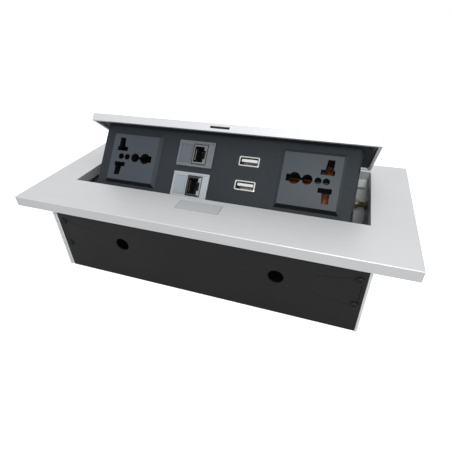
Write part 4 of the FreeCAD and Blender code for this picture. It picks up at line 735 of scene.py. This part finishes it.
@dataclass
class Fastener:
    """A turned fastener along +Z with its seat at 0, in millimetres."""

    name: str
    profile: Sequence[tuple[float, float]]
    sides: int = 24
    half_flats: float = 0.0
    recess: Recess = Recess.NONE
    recess_reach: float = 1.3
    recess_width: float = 0.55
    recess_depth: float = 0.6

    @staticmethod
    def thread(radius: float, start: float, end: float, pitch: float = 0.5) -> list[tuple[float, float]]:
        """Profile of a thread as rings.

        Args:
            radius: Outer radius.
            start: First height.
            end: Last height.
            pitch: Distance between rings.

        Returns:
            Radius and height pairs.
        """
        points = []
        for step in range(int((end - start) / pitch)):
            height = start + pitch * step
            points += [(radius * THREAD_ROOT, height), (radius, height + pitch / 2)]
        return points + [(radius * THREAD_ROOT, end)]

    @staticmethod
    def hexagon(half_flats: float, start: float, end: float) -> list[tuple[float, float]]:
        """Radius and height pairs of a hexagon with chamfered corners between two heights."""
        corner, rim, chamfer = half_flats * HEX_REACH, half_flats * HEX_RIM, HEX_CHAMFER_MM
        return [(rim, start), (corner, start + chamfer), (corner, end - chamfer), (rim, end)]

    def ring_radius(self, radius: float, turn: float) -> float:
        """Radius at an angle, which follows a hexagon outside its half width over flats.

        Args:
            radius: Radius of the ring.
            turn: Angle about the axis.

        Returns:
            The radius of the point.
        """
        if not self.half_flats or radius <= self.half_flats:
            return radius
        sixth = math.pi / 3
        return self.half_flats / math.cos(turn % sixth - sixth / 2)

    def mesh(self) -> bmesh.types.BMesh:
        """Turns the profile about +Z; one that starts off the axis closes on itself."""
        mesh = bmesh.new()
        rings = []
        for radius, height in self.profile:
            if radius == 0:
                rings.append([mesh.verts.new((0, 0, height))])
                continue
            ring = []
            for step in range(self.sides):
                turn = 2 * math.pi * step / self.sides
                out = self.ring_radius(radius, turn)
                ring.append(mesh.verts.new((out * math.cos(turn), out * math.sin(turn), height)))
            rings.append(ring)
        if self.profile[0][0] > 0:
            rings.append(rings[0])
        for below, above in zip(rings, rings[1:]):
            for step in range(self.sides):
                after = (step + 1) % self.sides
                corners = [below[step % len(below)], below[after % len(below)],
                           above[after % len(above)], above[step % len(above)]]
                unique = list(dict.fromkeys(corners))
                if len(unique) > 2:
                    mesh.faces.new(unique)
        bmesh.ops.recalc_face_normals(mesh, faces=mesh.faces)
        return mesh

    def recess_tool(self) -> Object:
        """Cutting object of the drive recess."""
        top = max(height for _, height in self.profile)
        cutter = bmesh.new()
        if self.recess is Recess.CROSS:
            for index in range(2):
                bar = bmesh.ops.create_cube(cutter, size=1.0)["verts"]
                size = (2 * self.recess_reach, self.recess_width, 2 * self.recess_depth)
                bmesh.ops.scale(cutter, verts=bar, vec=size)
                bmesh.ops.rotate(cutter, verts=bar, matrix=Matrix.Rotation(math.pi / 2 * index, 3, "Z"))
        else:
            bmesh.ops.create_cone(cutter, cap_ends=True, segments=6, radius1=self.recess_reach,
                                  radius2=self.recess_reach, depth=2 * self.recess_depth)
        bmesh.ops.translate(cutter, verts=cutter.verts, vec=(0, 0, top))
        return linked(self.name + "_recess", plain_mesh(self.name + "_recess", cutter))

    def scratch(self) -> Object:
        """The fastener as a scratch object, with its recess cut."""
        head = linked(self.name + "_one", plain_mesh(self.name + "_one", self.mesh()))
        if self.recess is not Recess.NONE:
            tool = self.recess_tool()
            cut = head.modifiers.new("recess", "BOOLEAN")
            cut.object = tool
            cut.solver = "EXACT"
            cut.use_self = True
            graph = bpy.context.evaluated_depsgraph_get()
            head.data = bpy.data.meshes.new_from_object(head.evaluated_get(graph), depsgraph=graph)
            head.modifiers.clear()
            bpy.data.objects.remove(tool)
        return head


class Layout:
    """Geometry Nodes layout that sets one template out at many places."""

    seed: int = 7

    def tree(self, name: str, template: Object) -> tuple[NodeTree, dict[str, str]]:
        """Builds the node tree.

        Args:
            name: Name of the tree.
            template: Object to set out.

        Returns:
            The tree and the identifiers of its inputs by name.
        """
        tree = bpy.data.node_groups.new(name, "GeometryNodeTree")
        tree.interface.new_socket("Places", in_out="INPUT", socket_type="NodeSocketGeometry")
        sockets = {}
        for label, kind in (("Size", "NodeSocketFloat"), ("Twist", "NodeSocketFloat"),
                            ("Seed", "NodeSocketInt"), ("Finish", "NodeSocketMaterial")):
            sockets[label] = tree.interface.new_socket(label, in_out="INPUT", socket_type=kind).identifier
        tree.interface.new_socket("Pieces", in_out="OUTPUT", socket_type="NodeSocketGeometry")
        given = add_node(tree, "NodeGroupInput").outputs
        part = add_node(tree, "GeometryNodeObjectInfo", {"Object": template}, transform_space="ORIGINAL")
        axis = add_node(tree, "GeometryNodeInputNamedAttribute", {"Name": "axis"}, data_type="FLOAT_VECTOR")
        aim = add_node(tree, "FunctionNodeAlignRotationToVector", {"Vector": axis.outputs[0]}, axis="Z")
        twist = add_node(tree, "FunctionNodeRandomValue", {"Seed": given["Seed"]}, data_type="FLOAT")
        scaled = add_node(tree, "ShaderNodeMath", {0: twist.outputs[1], 1: given["Twist"]},
                          operation="MULTIPLY")
        about = add_node(tree, "ShaderNodeCombineXYZ", {"Z": scaled.outputs[0]})
        spin = add_node(tree, "FunctionNodeEulerToRotation", {0: about.outputs[0]})
        turned = add_node(tree, "FunctionNodeRotateRotation", {
            "Rotation": aim.outputs[0], "Rotate By": spin.outputs[0]}, rotation_space="LOCAL")
        size = add_node(tree, "ShaderNodeCombineXYZ", {side: given["Size"] for side in "XYZ"})
        spread = add_node(tree, "GeometryNodeInstanceOnPoints", {
            "Points": given["Places"], "Instance": part.outputs["Geometry"], "Rotation": turned.outputs[0],
            "Scale": size.outputs[0]})
        real = add_node(tree, "GeometryNodeRealizeInstances", {0: spread.outputs[0]})
        coated = add_node(tree, "GeometryNodeSetMaterial", {
            "Geometry": real.outputs[0], "Material": given["Finish"]})
        add_node(tree, "NodeGroupOutput", {0: coated.outputs[0]})
        return tree, sockets

    def mesh(self, name: str, template: Object, places: Sequence[tuple[Vector, Vector]],
             finish: Finish, twist: float = 0.0) -> Mesh:
        """Sets the template out; the template is removed.

        Args:
            name: Name of the mesh.
            template: Object in millimetres along +Z, with its seat at 0.
            places: Seat and axis pairs in the row frame.
            finish: Finish of the copies.
            twist: Largest random turn about the axis.

        Returns:
            A plain mesh.
        """
        data = bpy.data.meshes.new(name + "_places")
        data.from_pydata([tuple(place) for place, _ in places], [], [])
        axes = data.attributes.new("axis", "FLOAT_VECTOR", "POINT")
        for index, (_, axis) in enumerate(places):
            axes.data[index].vector = axis
        seats = linked(name + "_places", data)
        layout = seats.modifiers.new("layout", "NODES")
        layout.node_group, sockets = self.tree(name + "_layout", template)
        values = {"Size": MM, "Twist": twist, "Seed": self.seed, "Finish": finish.material()}
        for label, value in values.items():
            layout[sockets[label]] = value
        mesh = evaluated(seats, name)
        bpy.data.objects.remove(template)
        return mesh


@dataclass
class Workshop:
    """Makes fasteners and sets them at the places of the CAD solids; sizes are in millimetres."""

    box: BoxFrame
    layout: Layout
    head_radius: float = 2.4
    head_height: float = 1.2
    head_edge: float = 0.1
    shank_radius: float = 1.45
    lead_in: float = 0.3
    bore_edge: float = 0.2
    # The crown's radii and heights, as shares of the head's own
    crown: tuple[tuple[float, float], ...] = (
        (1.0, 0.45), (0.94, 0.72), (0.78, 0.92), (0.5, 1.0), (0.0, 1.0))

    def pan_head(self, name: str, length: float) -> Fastener:
        """Pan-head screw with a cross recess.

        Args:
            name: Name of the template.
            length: Shank below the head, in millimetres.

        Returns:
            The fastener.
        """
        radius, height, shank, edge = self.head_radius, self.head_height, self.shank_radius, self.head_edge
        profile = [(0.0, -length), (shank * TIP, -length)]
        profile += Fastener.thread(shank, self.lead_in - length, -edge)
        profile += [(shank, 0.0), (radius - edge, 0.0), (radius, edge)]
        profile += [(radius * out, height * up) for out, up in self.crown]
        return Fastener(name, profile, sides=32, recess=Recess.CROSS)

    def nut(self, name: str, half_flats: float, height: float, bore: float) -> Fastener:
        """Hexagon nut with chamfered corners.

        Args:
            name: Name of the template.
            half_flats: Half the width over flats, in millimetres.
            height: Height, in millimetres.
            bore: Radius of its hole, in millimetres.

        Returns:
            The fastener.
        """
        edge = self.bore_edge
        profile = [(bore, edge), (bore + edge, 0.0)] + Fastener.hexagon(half_flats, 0.0, height)
        profile += [(bore + edge, height), (bore, height - edge)]
        return Fastener(name, profile, sides=36, half_flats=half_flats)

    def seats(self, node: str, axis_of: AxisOf, depth_mm: float) -> tuple[list[tuple[Vector, Vector]], float]:
        """Places where a node's fasteners sit.

        Args:
            node: Node of identical fasteners.
            axis_of: Gives the direction of a fastener's head from the middle of its solid.
            depth_mm: How far below the top of the head its seat lies.

        Returns:
            Seat and axis pairs, and the whole length of a fastener in millimetres.
        """
        places = []
        length = 0.0
        for points in self.box.loose_parts(node):
            axis = axis_of(sum(points, Vector()) / len(points))
            reach = [point.dot(axis) for point in points]
            length = (max(reach) - min(reach)) / MM
            crown = [point for point, height in zip(points, reach) if height > max(reach) - CROWN_MM * MM]
            low, high = corners_of(crown)
            places.append(((low + high) / 2 - axis * depth_mm * MM, axis))
        return places, length

    def set_pieces(self, node: str, body: Body, slot: str, finish: Finish, depth_mm: float, axis_of: AxisOf,
                   make: Callable[[float], Fastener], twist: float = 0.0) -> Object:
        """Replaces a node of fasteners by detailed ones.

        Args:
            node: Node of identical fasteners.
            body: Body that carries them.
            slot: Material slot of the record.
            finish: Their finish.
            depth_mm: How far below the top of the head the seat lies.
            axis_of: Gives the direction of a fastener's head from the middle of its solid.
            make: Makes the fastener from its whole length.
            twist: Largest random turn about the axis.

        Returns:
            The new piece.
        """
        places, length = self.seats(node, axis_of, depth_mm)
        mesh = self.layout.mesh(node + "_set", make(length).scratch(), places, finish, twist)
        return new_piece(node + "_set", mesh, body, slot, (), (node,))

    def screws(self, node: str, body: Body, slot: str, finish: Finish, axis_of: AxisOf) -> Object:
        """Replaces a node of pan-head screws; axis_of gives each head's direction from its solid's middle."""
        return self.set_pieces(node, body, slot, finish, self.head_height, axis_of,
                               lambda length: self.pan_head(node, length - self.head_height), math.pi)


@dataclass
class Housing:
    """Bezel, sunken metal box and their fixings; sizes are in millimetres."""

    box: BoxFrame
    workshop: Workshop
    bezel_edge_mm: float = 0.1
    sheet_edge_mm: float = 0.2
    nut_half_flats: float = 3.1
    nut_height: float = 2.2
    stud_bore: float = 1.54
    lead_in: float = 0.3
    earth_half_flats: float = 3.5
    earth_radius: float = 1.96
    earth_wall: float = 1.2
    earth_out: float = 2.6
    earth_edge: float = 0.2
    earth_top_share: float = 0.85
    rivet_radius: float = 1.5
    rivet_height: float = 0.96
    # Radii and heights from the swell below the seat to the dimple in the crown
    rivet_profile: tuple[tuple[float, float], ...] = (
        (1.56, -2.5), (1.56, 0.0), (3.1, 0.0), (3.2, 0.12), (2.9, 0.55), (2.2, 0.84), (1.2, 0.96),
        (0.9, 0.7), (0.0, 0.66))
    floor_mm: float = 2.0
    upward: float = 0.9

    def tray_zinc_and_painted_shade(self, centre: Vector, normal: Vector) -> int:
        """0 for the tray's bare zinc, 1 for the black painted shade on its floor's upper side."""
        return int(normal.z > self.upward and centre.z < self.floor_mm * MM)

    def sheets(self) -> None:
        """Satin bezel, galvanised tray with black painted shade on its floor, galvanised end plates, and the
        black front cover.
        """
        self.box.refined("bezel_frame", Body.HOUSING, "satin_aluminium", self.bezel_edge_mm, FINISH.anodised)
        # The tray floor's upper side is black painted shade, for the shade deep in the box
        self.box.refined("base_tray", Body.HOUSING, "galvanised_steel", self.sheet_edge_mm,
                         FINISH.galvanised, FINISH.painted_shade_black, choose=self.tray_zinc_and_painted_shade)
        for name in ("end_plate_left", "end_plate_right"):
            self.box.refined(name, Body.HOUSING, "galvanised_steel", self.sheet_edge_mm, FINISH.galvanised)
        self.box.refined("front_cover", Body.HOUSING, "black_steel", self.sheet_edge_mm, FINISH.lacquer)

    def rivet(self, length: float) -> Fastener:
        """Blind rivet of a whole length in millimetres, with its dimpled crown."""
        tip = self.rivet_height - length
        return Fastener("rivet", [(0.0, tip), (self.rivet_radius, tip), *self.rivet_profile])

    def earth(self, length: float) -> Fastener:
        """Earth stud with a nut on either side of the rear wall.

        Args:
            length: Whole length, in millimetres.

        Returns:
            The fastener.
        """
        stud, flats, wall, out = self.earth_radius, self.earth_half_flats, self.earth_wall, self.earth_out
        tip = out - length
        profile = [(0.0, tip), (stud * TIP, tip)]
        profile += Fastener.thread(stud, tip + self.lead_in, -wall - self.nut_height)
        for start in (-wall - self.nut_height, 0.0):
            end = start + self.nut_height
            profile += Fastener.hexagon(flats, start, end) + [(stud, end)]
        profile += [(stud, out - self.earth_edge), (stud * self.earth_top_share, out), (0.0, out)]
        return Fastener("earth_stud", profile, sides=36, half_flats=flats)

    def fixings(self) -> None:
        """Screws, nuts, rivets and the earth stud."""
        up, down, front, rear = Vector((0, 0, 1)), Vector((0, 0, -1)), Vector((0, -1, 0)), Vector((0, 1, 0))
        self.workshop.screws("cover_screws", Body.HOUSING, "black_steel", FINISH.lacquer,
                             lambda middle: front)
        self.workshop.screws("guide_screws", Body.HOUSING, "zinc_fixings", FINISH.zinc, lambda middle: down)
        self.workshop.set_pieces("bezel_nuts", Body.HOUSING, "zinc_fixings", FINISH.zinc, self.nut_height,
                                 lambda middle: down, lambda length: self.workshop.nut(
                                     "bezel_nut", self.nut_half_flats, length, self.stud_bore))
        self.workshop.set_pieces("tray_rivets", Body.HOUSING, "zinc_fixings", FINISH.zinc, self.rivet_height,
                                 lambda middle: up, self.rivet)
        self.workshop.set_pieces("earth_stud", Body.HOUSING, "zinc_fixings", FINISH.zinc, self.earth_out,
                                 lambda middle: rear, self.earth)

    def build(self) -> None:
        """Builds the housing."""
        self.sheets()
        self.fixings()


@dataclass
class Hinge:
    """Hinge screws, spacers, nuts, bushes and torsion springs; sizes are in millimetres."""

    box: BoxFrame
    workshop: Workshop
    wire_mm: float = 0.6
    coil_mm: float = 3.6
    pitch_mm: float = 1.7
    turns: int = 4
    reach_mm: float = 7.05
    drop_mm: float = 15.0
    leg_mm: float = 14.0
    steps_per_turn: int = 28
    shank_radius: float = 2.0
    head_radius: float = 3.8
    head_height: float = 2.0
    head_edge: float = 0.15
    head_chamfer: float = 0.3
    thread_mm: float = 8.5
    thread_pitch: float = 0.7
    lead_in: float = 0.4
    run_out: float = 0.3
    key_reach: float = 1.75
    key_depth: float = 1.2
    spacer_edge_mm: float = 0.25
    bush_edge_mm: float = 0.12
    nut_edge_mm: float = 0.2

    def pivot_screw(self, length: float) -> Fastener:
        """Socket-head hinge screw with its thread at the outer end.

        Args:
            length: Whole length, in millimetres.

        Returns:
            The fastener.
        """
        shank, radius, height = self.shank_radius, self.head_radius, self.head_height
        tip = height - length
        end = tip + self.thread_mm
        profile = [(0.0, tip), (shank * TIP, tip)]
        profile += Fastener.thread(shank, tip + self.lead_in, end, self.thread_pitch)
        profile += [(shank, end + self.run_out), (shank, 0.0), (radius - self.head_edge, 0.0),
                    (radius, self.head_edge), (radius, height - self.head_chamfer),
                    (radius - self.head_chamfer, height), (0.0, height)]
        return Fastener("pivot_screw", profile, sides=36, recess=Recess.HEXAGON,
                        recess_reach=self.key_reach, recess_depth=self.key_depth)

    def screws(self) -> None:
        """Hinge screws, with their spacers, bushes and nuts."""
        for side, inward in (("left", Vector((1, 0, 0))), ("right", Vector((-1, 0, 0)))):
            self.workshop.set_pieces("pivot_screw_" + side, Body.HOUSING, "zinc_fixings", FINISH.zinc,
                                     self.head_height, lambda middle, axis=inward: axis, self.pivot_screw)
            self.box.refined("pivot_spacer_" + side, Body.HOUSING, "zinc_fixings", self.spacer_edge_mm,
                             FINISH.zinc)
            self.box.refined("pivot_bush_" + side, Body.LID, "nylon_white", self.bush_edge_mm, FINISH.nylon)
        self.box.refined("pivot_nuts", Body.HOUSING, "zinc_fixings", self.nut_edge_mm, FINISH.zinc)

    def spring_path(self, side: int, rear_x: float) -> list[Vector]:
        """Middle line of a torsion spring, from its rear leg to its front leg.

        Args:
            side: 1 for the right-hand spring, -1 for the left-hand one.
            rear_x: X of the rear leg's end, in metres.

        Returns:
            Points in the row frame.
        """
        far = math.hypot(self.reach_mm, self.drop_mm)
        first = math.acos(self.coil_mm / far) - math.atan2(self.drop_mm, self.reach_mm)
        turned = 2 * math.pi * self.turns + math.pi / 2 - self.box.open_angle - first
        slope = self.pitch_mm / (2 * math.pi)
        offset = math.sqrt(far * far - self.coil_mm * self.coil_mm) * slope / self.coil_mm
        count = int(self.steps_per_turn * turned / (2 * math.pi))
        path = [Vector((0.0, self.reach_mm, -self.drop_mm))]
        for step in range(count + 1):
            share = turned * step / count
            angle = first + share
            path.append(Vector((side * (offset + slope * share), self.coil_mm * math.cos(angle),
                                self.coil_mm * math.sin(angle))))
        last = first + turned
        along = Vector((side * slope, -self.coil_mm * math.sin(last), self.coil_mm * math.cos(last)))
        path.append(path[-1] + along.normalized() * self.leg_mm)
        origin = Vector((rear_x, self.box.pivot.y, self.box.pivot.z))
        return [origin + point * MM for point in path]

    def springs(self) -> None:
        """Torsion springs, baked in place on no body."""
        for name, side in (("lid_spring_right", 1), ("lid_spring_left", -1)):
            low, high = (Vector(corner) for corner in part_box(name))
            inner = low.x if side > 0 else high.x
            path = self.spring_path(side, inner + side * self.wire_mm * MM)
            mesh = tube_mesh(name + "_wire", path, self.wire_mm * MM)
            piece = new_piece(name + "_wire", mesh, Body.HOUSING, "spring_steel", (FINISH.spring,), (name,),
                              rides=False)
            tuple(path[1])
            tuple(path[-2])
            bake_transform(piece)

    def build(self) -> None:
        """Builds the hinge."""
        self.screws()
        self.springs()


@dataclass
class LatchWork:
    """Push button, its guide, the latch and the latch spring."""

    box: BoxFrame
    wire_mm: float = 0.25
    coil_mm: float = 1.8
    turns: int = 4
    steps_per_turn: int = 24
    wire_sides: int = 8
    button_edge_mm: float = 0.12
    bolt_edge_mm: float = 0.1
    guide_edge_mm: float = 0.2

    def parts(self) -> None:
        """Button, guide and latch."""
        self.box.refined("push_button", Body.BUTTON, "satin_aluminium", self.button_edge_mm, FINISH.button)
        self.box.refined("latch_bolt", Body.LATCH, "galvanised_steel", self.bolt_edge_mm, FINISH.galvanised)
        self.box.refined("button_guide", Body.HOUSING, "black_plastic", self.guide_edge_mm,
                         FINISH.black_plastic)

    def spring(self) -> None:
        """Coil spring of the latch, baked in place on no body."""
        low, high = (Vector(corner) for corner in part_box("latch_spring"))
        centre = (low + high) / 2
        start = low.y + self.wire_mm * MM
        length = high.y - low.y - 2 * self.wire_mm * MM
        path = []
        for step in range(self.turns * self.steps_per_turn + 1):
            angle = 2 * math.pi * step / self.steps_per_turn
            along = length * step / (self.turns * self.steps_per_turn)
            path.append(Vector((centre.x + self.coil_mm * MM * math.cos(angle), start + along,
                                centre.z - self.coil_mm * MM * math.sin(angle))))
        mesh = tube_mesh("latch_spring_wire", path, self.wire_mm * MM, self.wire_sides)
        piece = new_piece("latch_spring_wire", mesh, Body.HOUSING, "spring_steel", (FINISH.spring,),
                          ("latch_spring",), rides=False)
        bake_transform(piece)

    def build(self) -> None:
        """Builds the latch work."""
        self.parts()
        self.spring()


@dataclass
class FlipUnit:
    """Lid, panel, cheeks and tray of the flip-up unit."""

    box: BoxFrame
    workshop: Workshop
    edge_mm: float = 0.2
    lid_edge_mm: float = 0.1
    ring_edge_mm: float = 0.45
    wire_edge_mm: float = 0.1

    def sheets(self) -> None:
        """Satin lid, the black sheet parts under it and the rubber rings."""
        self.box.refined("lid_plate", Body.LID, "satin_aluminium", self.lid_edge_mm, FINISH.anodised)
        for name in ("lid_carrier", "socket_panel", "cheek_left", "cheek_right", "unit_tray"):
            self.box.refined(name, Body.LID, "black_steel", self.edge_mm, FINISH.powder)
        self.box.refined("lead_grommets", Body.LID, "rubber_ring", self.ring_edge_mm, FINISH.rubber,
                         segments=3)

    def screws(self) -> None:
        """Screws of the carrier and the cheeks."""
        down = self.box.direction((0, 0, -1))
        self.workshop.screws("lid_screws", Body.LID, "black_steel", FINISH.black_screw, lambda middle: down)
        self.workshop.screws("cheek_screws", Body.LID, "black_steel", FINISH.black_screw,
                             lambda middle: Vector((-math.copysign(1, middle.x), 0, 0)))

    def wires(self) -> None:
        """Jumper wires between the sockets."""
        for name, slot, finish in (("wire_live", "brown_cable", FINISH.brown_pvc),
                                   ("wire_neutral", "blue_cable", FINISH.blue_pvc),
                                   ("wire_earth", "green_yellow_cable", FINISH.green_pvc)):
            self.box.refined(name, Body.LID, slot, self.wire_edge_mm, finish)

    def build(self) -> None:
        """Builds the unit's own parts."""
        self.sheets()
        self.screws()
        self.wires()


@dataclass
class MainsSocket:
    """One universal mains socket."""

    box: BoxFrame
    workshop: Workshop
    side: str
    edge_mm: float = 0.25
    contact_edge_mm: float = 0.08
    border_mm: float = 2.3
    lit_depth_mm: float = 0.5
    downward: float = -0.25

    def face_and_painted_shade(self) -> Chooser:
        """Chooser for the face plate: grey in front, black painted shade in the holes and under the lower
        chamfer.
        """
        # Holes past the lit depth and faces turned down get black painted shade
        holes = self.box.openings("socket_face_" + self.side, self.border_mm, self.lit_depth_mm)
        closing = self.box.closing.to_3x3()
        return lambda centre, normal: int((closing @ normal).z < self.downward or holes(centre, normal))

    def build(self) -> None:
        """Builds the face, body, contacts and terminals."""
        self.box.refined("socket_face_" + self.side, Body.LID, "grey_socket_plastic", self.edge_mm,
                         FINISH.socket_grey, FINISH.black_plastic, choose=self.face_and_painted_shade(), segments=3)
        self.box.refined("socket_body_" + self.side, Body.LID, "black_plastic", self.edge_mm,
                         FINISH.black_plastic)
        self.box.refined("socket_contacts_" + self.side, Body.LID, "brass_contact", self.contact_edge_mm,
                         FINISH.bronze_painted_shade)
        rear = self.box.direction((0, 1, 0))
        self.workshop.screws("socket_terminals_" + self.side, Body.LID, "zinc_fixings", FINISH.zinc,
                             lambda middle: rear)


@dataclass
class DataPort:
    """One data port: frame, label, jack and contact wires."""

    box: BoxFrame
    level: str
    frame_finish: Finish
    label_finish: Finish
    jack_finish: Finish
    contact_finish: Finish
    unshaded_side_mm: float
    edge_mm: float = 0.12
    contact_edge_mm: float = 0.08
    rim_mm: float = 0.3
    frame_lit_mm: float = 0.6
    jack_lit_mm: float = 0.3
    contact_rim_mm: float = -1.0
    contact_lit_mm: float = 3.0

    def jack_and_painted_shade(self) -> Chooser:
        """Chooser for the jack: its own pale shell, with black painted shade in its cavity and away from its
        unshaded side.
        """
        name = "data_jack_" + self.level
        cavity = self.box.openings(name, self.rim_mm, self.jack_lit_mm)
        edge = self.box.closed_box(name)[1].x - self.unshaded_side_mm * MM
        return lambda centre, normal: int((self.box.closing @ centre).x < edge or cavity(centre, normal))

    def build(self) -> None:
        """Builds the port; its window, its jack's cavity and the rear of its contacts are black painted
        shade.
        """
        window_painted_shade = self.box.openings("data_frame_" + self.level, self.rim_mm, self.frame_lit_mm)
        # Only the mouth of the contacts keeps its metal; further in they are black painted shade
        rear = self.box.openings("jack_contacts_" + self.level, self.contact_rim_mm, self.contact_lit_mm)
        for piece, slot, edge, finish, choose in (
                ("data_frame_", "silver_plastic", self.edge_mm, self.frame_finish, window_painted_shade),
                ("data_label_", "bare_label", self.edge_mm, self.label_finish, None),
                ("data_jack_", "black_plastic", self.edge_mm, self.jack_finish, self.jack_and_painted_shade()),
                ("jack_contacts_", "gold_contact", self.contact_edge_mm, self.contact_finish, rear)):
            painted_shade_finish = (FINISH.black_plastic,) if choose else ()
            self.box.refined(piece + self.level, Body.LID, slot, edge, finish, *painted_shade_finish, choose=choose)


@dataclass
class UsbPorts:
    """USB shells and tongues with their board and supply module."""

    box: BoxFrame
    rim_mm: float = 0.7
    shell_edge_mm: float = 0.06
    tongue_edge_mm: float = 0.12
    board_edge_mm: float = 0.1
    module_edge_mm: float = 0.2

    def build(self) -> None:
        """Builds the ports, with black painted shade on the shells' inner walls."""
        for level in ("upper", "lower"):
            shell = "usb_shell_" + level
            # The shells' inner walls get black painted shade
            self.box.refined(shell, Body.LID, "usb_steel", self.shell_edge_mm, FINISH.nickel,
                             FINISH.black_plastic, choose=self.box.openings(shell, self.rim_mm, depth_mm=0.0))
            self.box.refined("usb_tongue_" + level, Body.LID, "white_plastic", self.tongue_edge_mm,
                             FINISH.nylon)
        self.box.refined("usb_board", Body.LID, "green_board", self.board_edge_mm, FINISH.board)
        self.box.refined("usb_converter", Body.LID, "black_plastic", self.module_edge_mm,
                         FINISH.black_plastic)


def main() -> None:
    """Builds the studio and dresses the box."""
    logging.basicConfig(level=logging.INFO, format="%(message)s")
    box = BoxFrame()
    Studio().build()
    workshop = Workshop(box, Layout())
    Housing(box, workshop).build()
    Hinge(box, workshop).build()
    LatchWork(box).build()
    FlipUnit(box, workshop).build()
    for side in ("left", "right"):
        MainsSocket(box, workshop, side).build()
    # The upper port's frame, label and jack are darker copies of the lower port's finishes: painted shade
    # under the lid
    DataPort(box, "upper", FINISH.silver_abs_painted_shade, FINISH.label_painted_shade, FINISH.jack_grey_painted_shade, FINISH.flash_gilt,
             unshaded_side_mm=12.0).build()
    DataPort(box, "lower", FINISH.silver_abs, FINISH.label, FINISH.label, FINISH.gilt,
             unshaded_side_mm=2.3).build()
    UsbPorts(box).build()
    ({"cad": [list(corner) for corner in box.start_bounds],
               "visual": [list(corner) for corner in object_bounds()]})


if __name__ == "__main__":
    main()
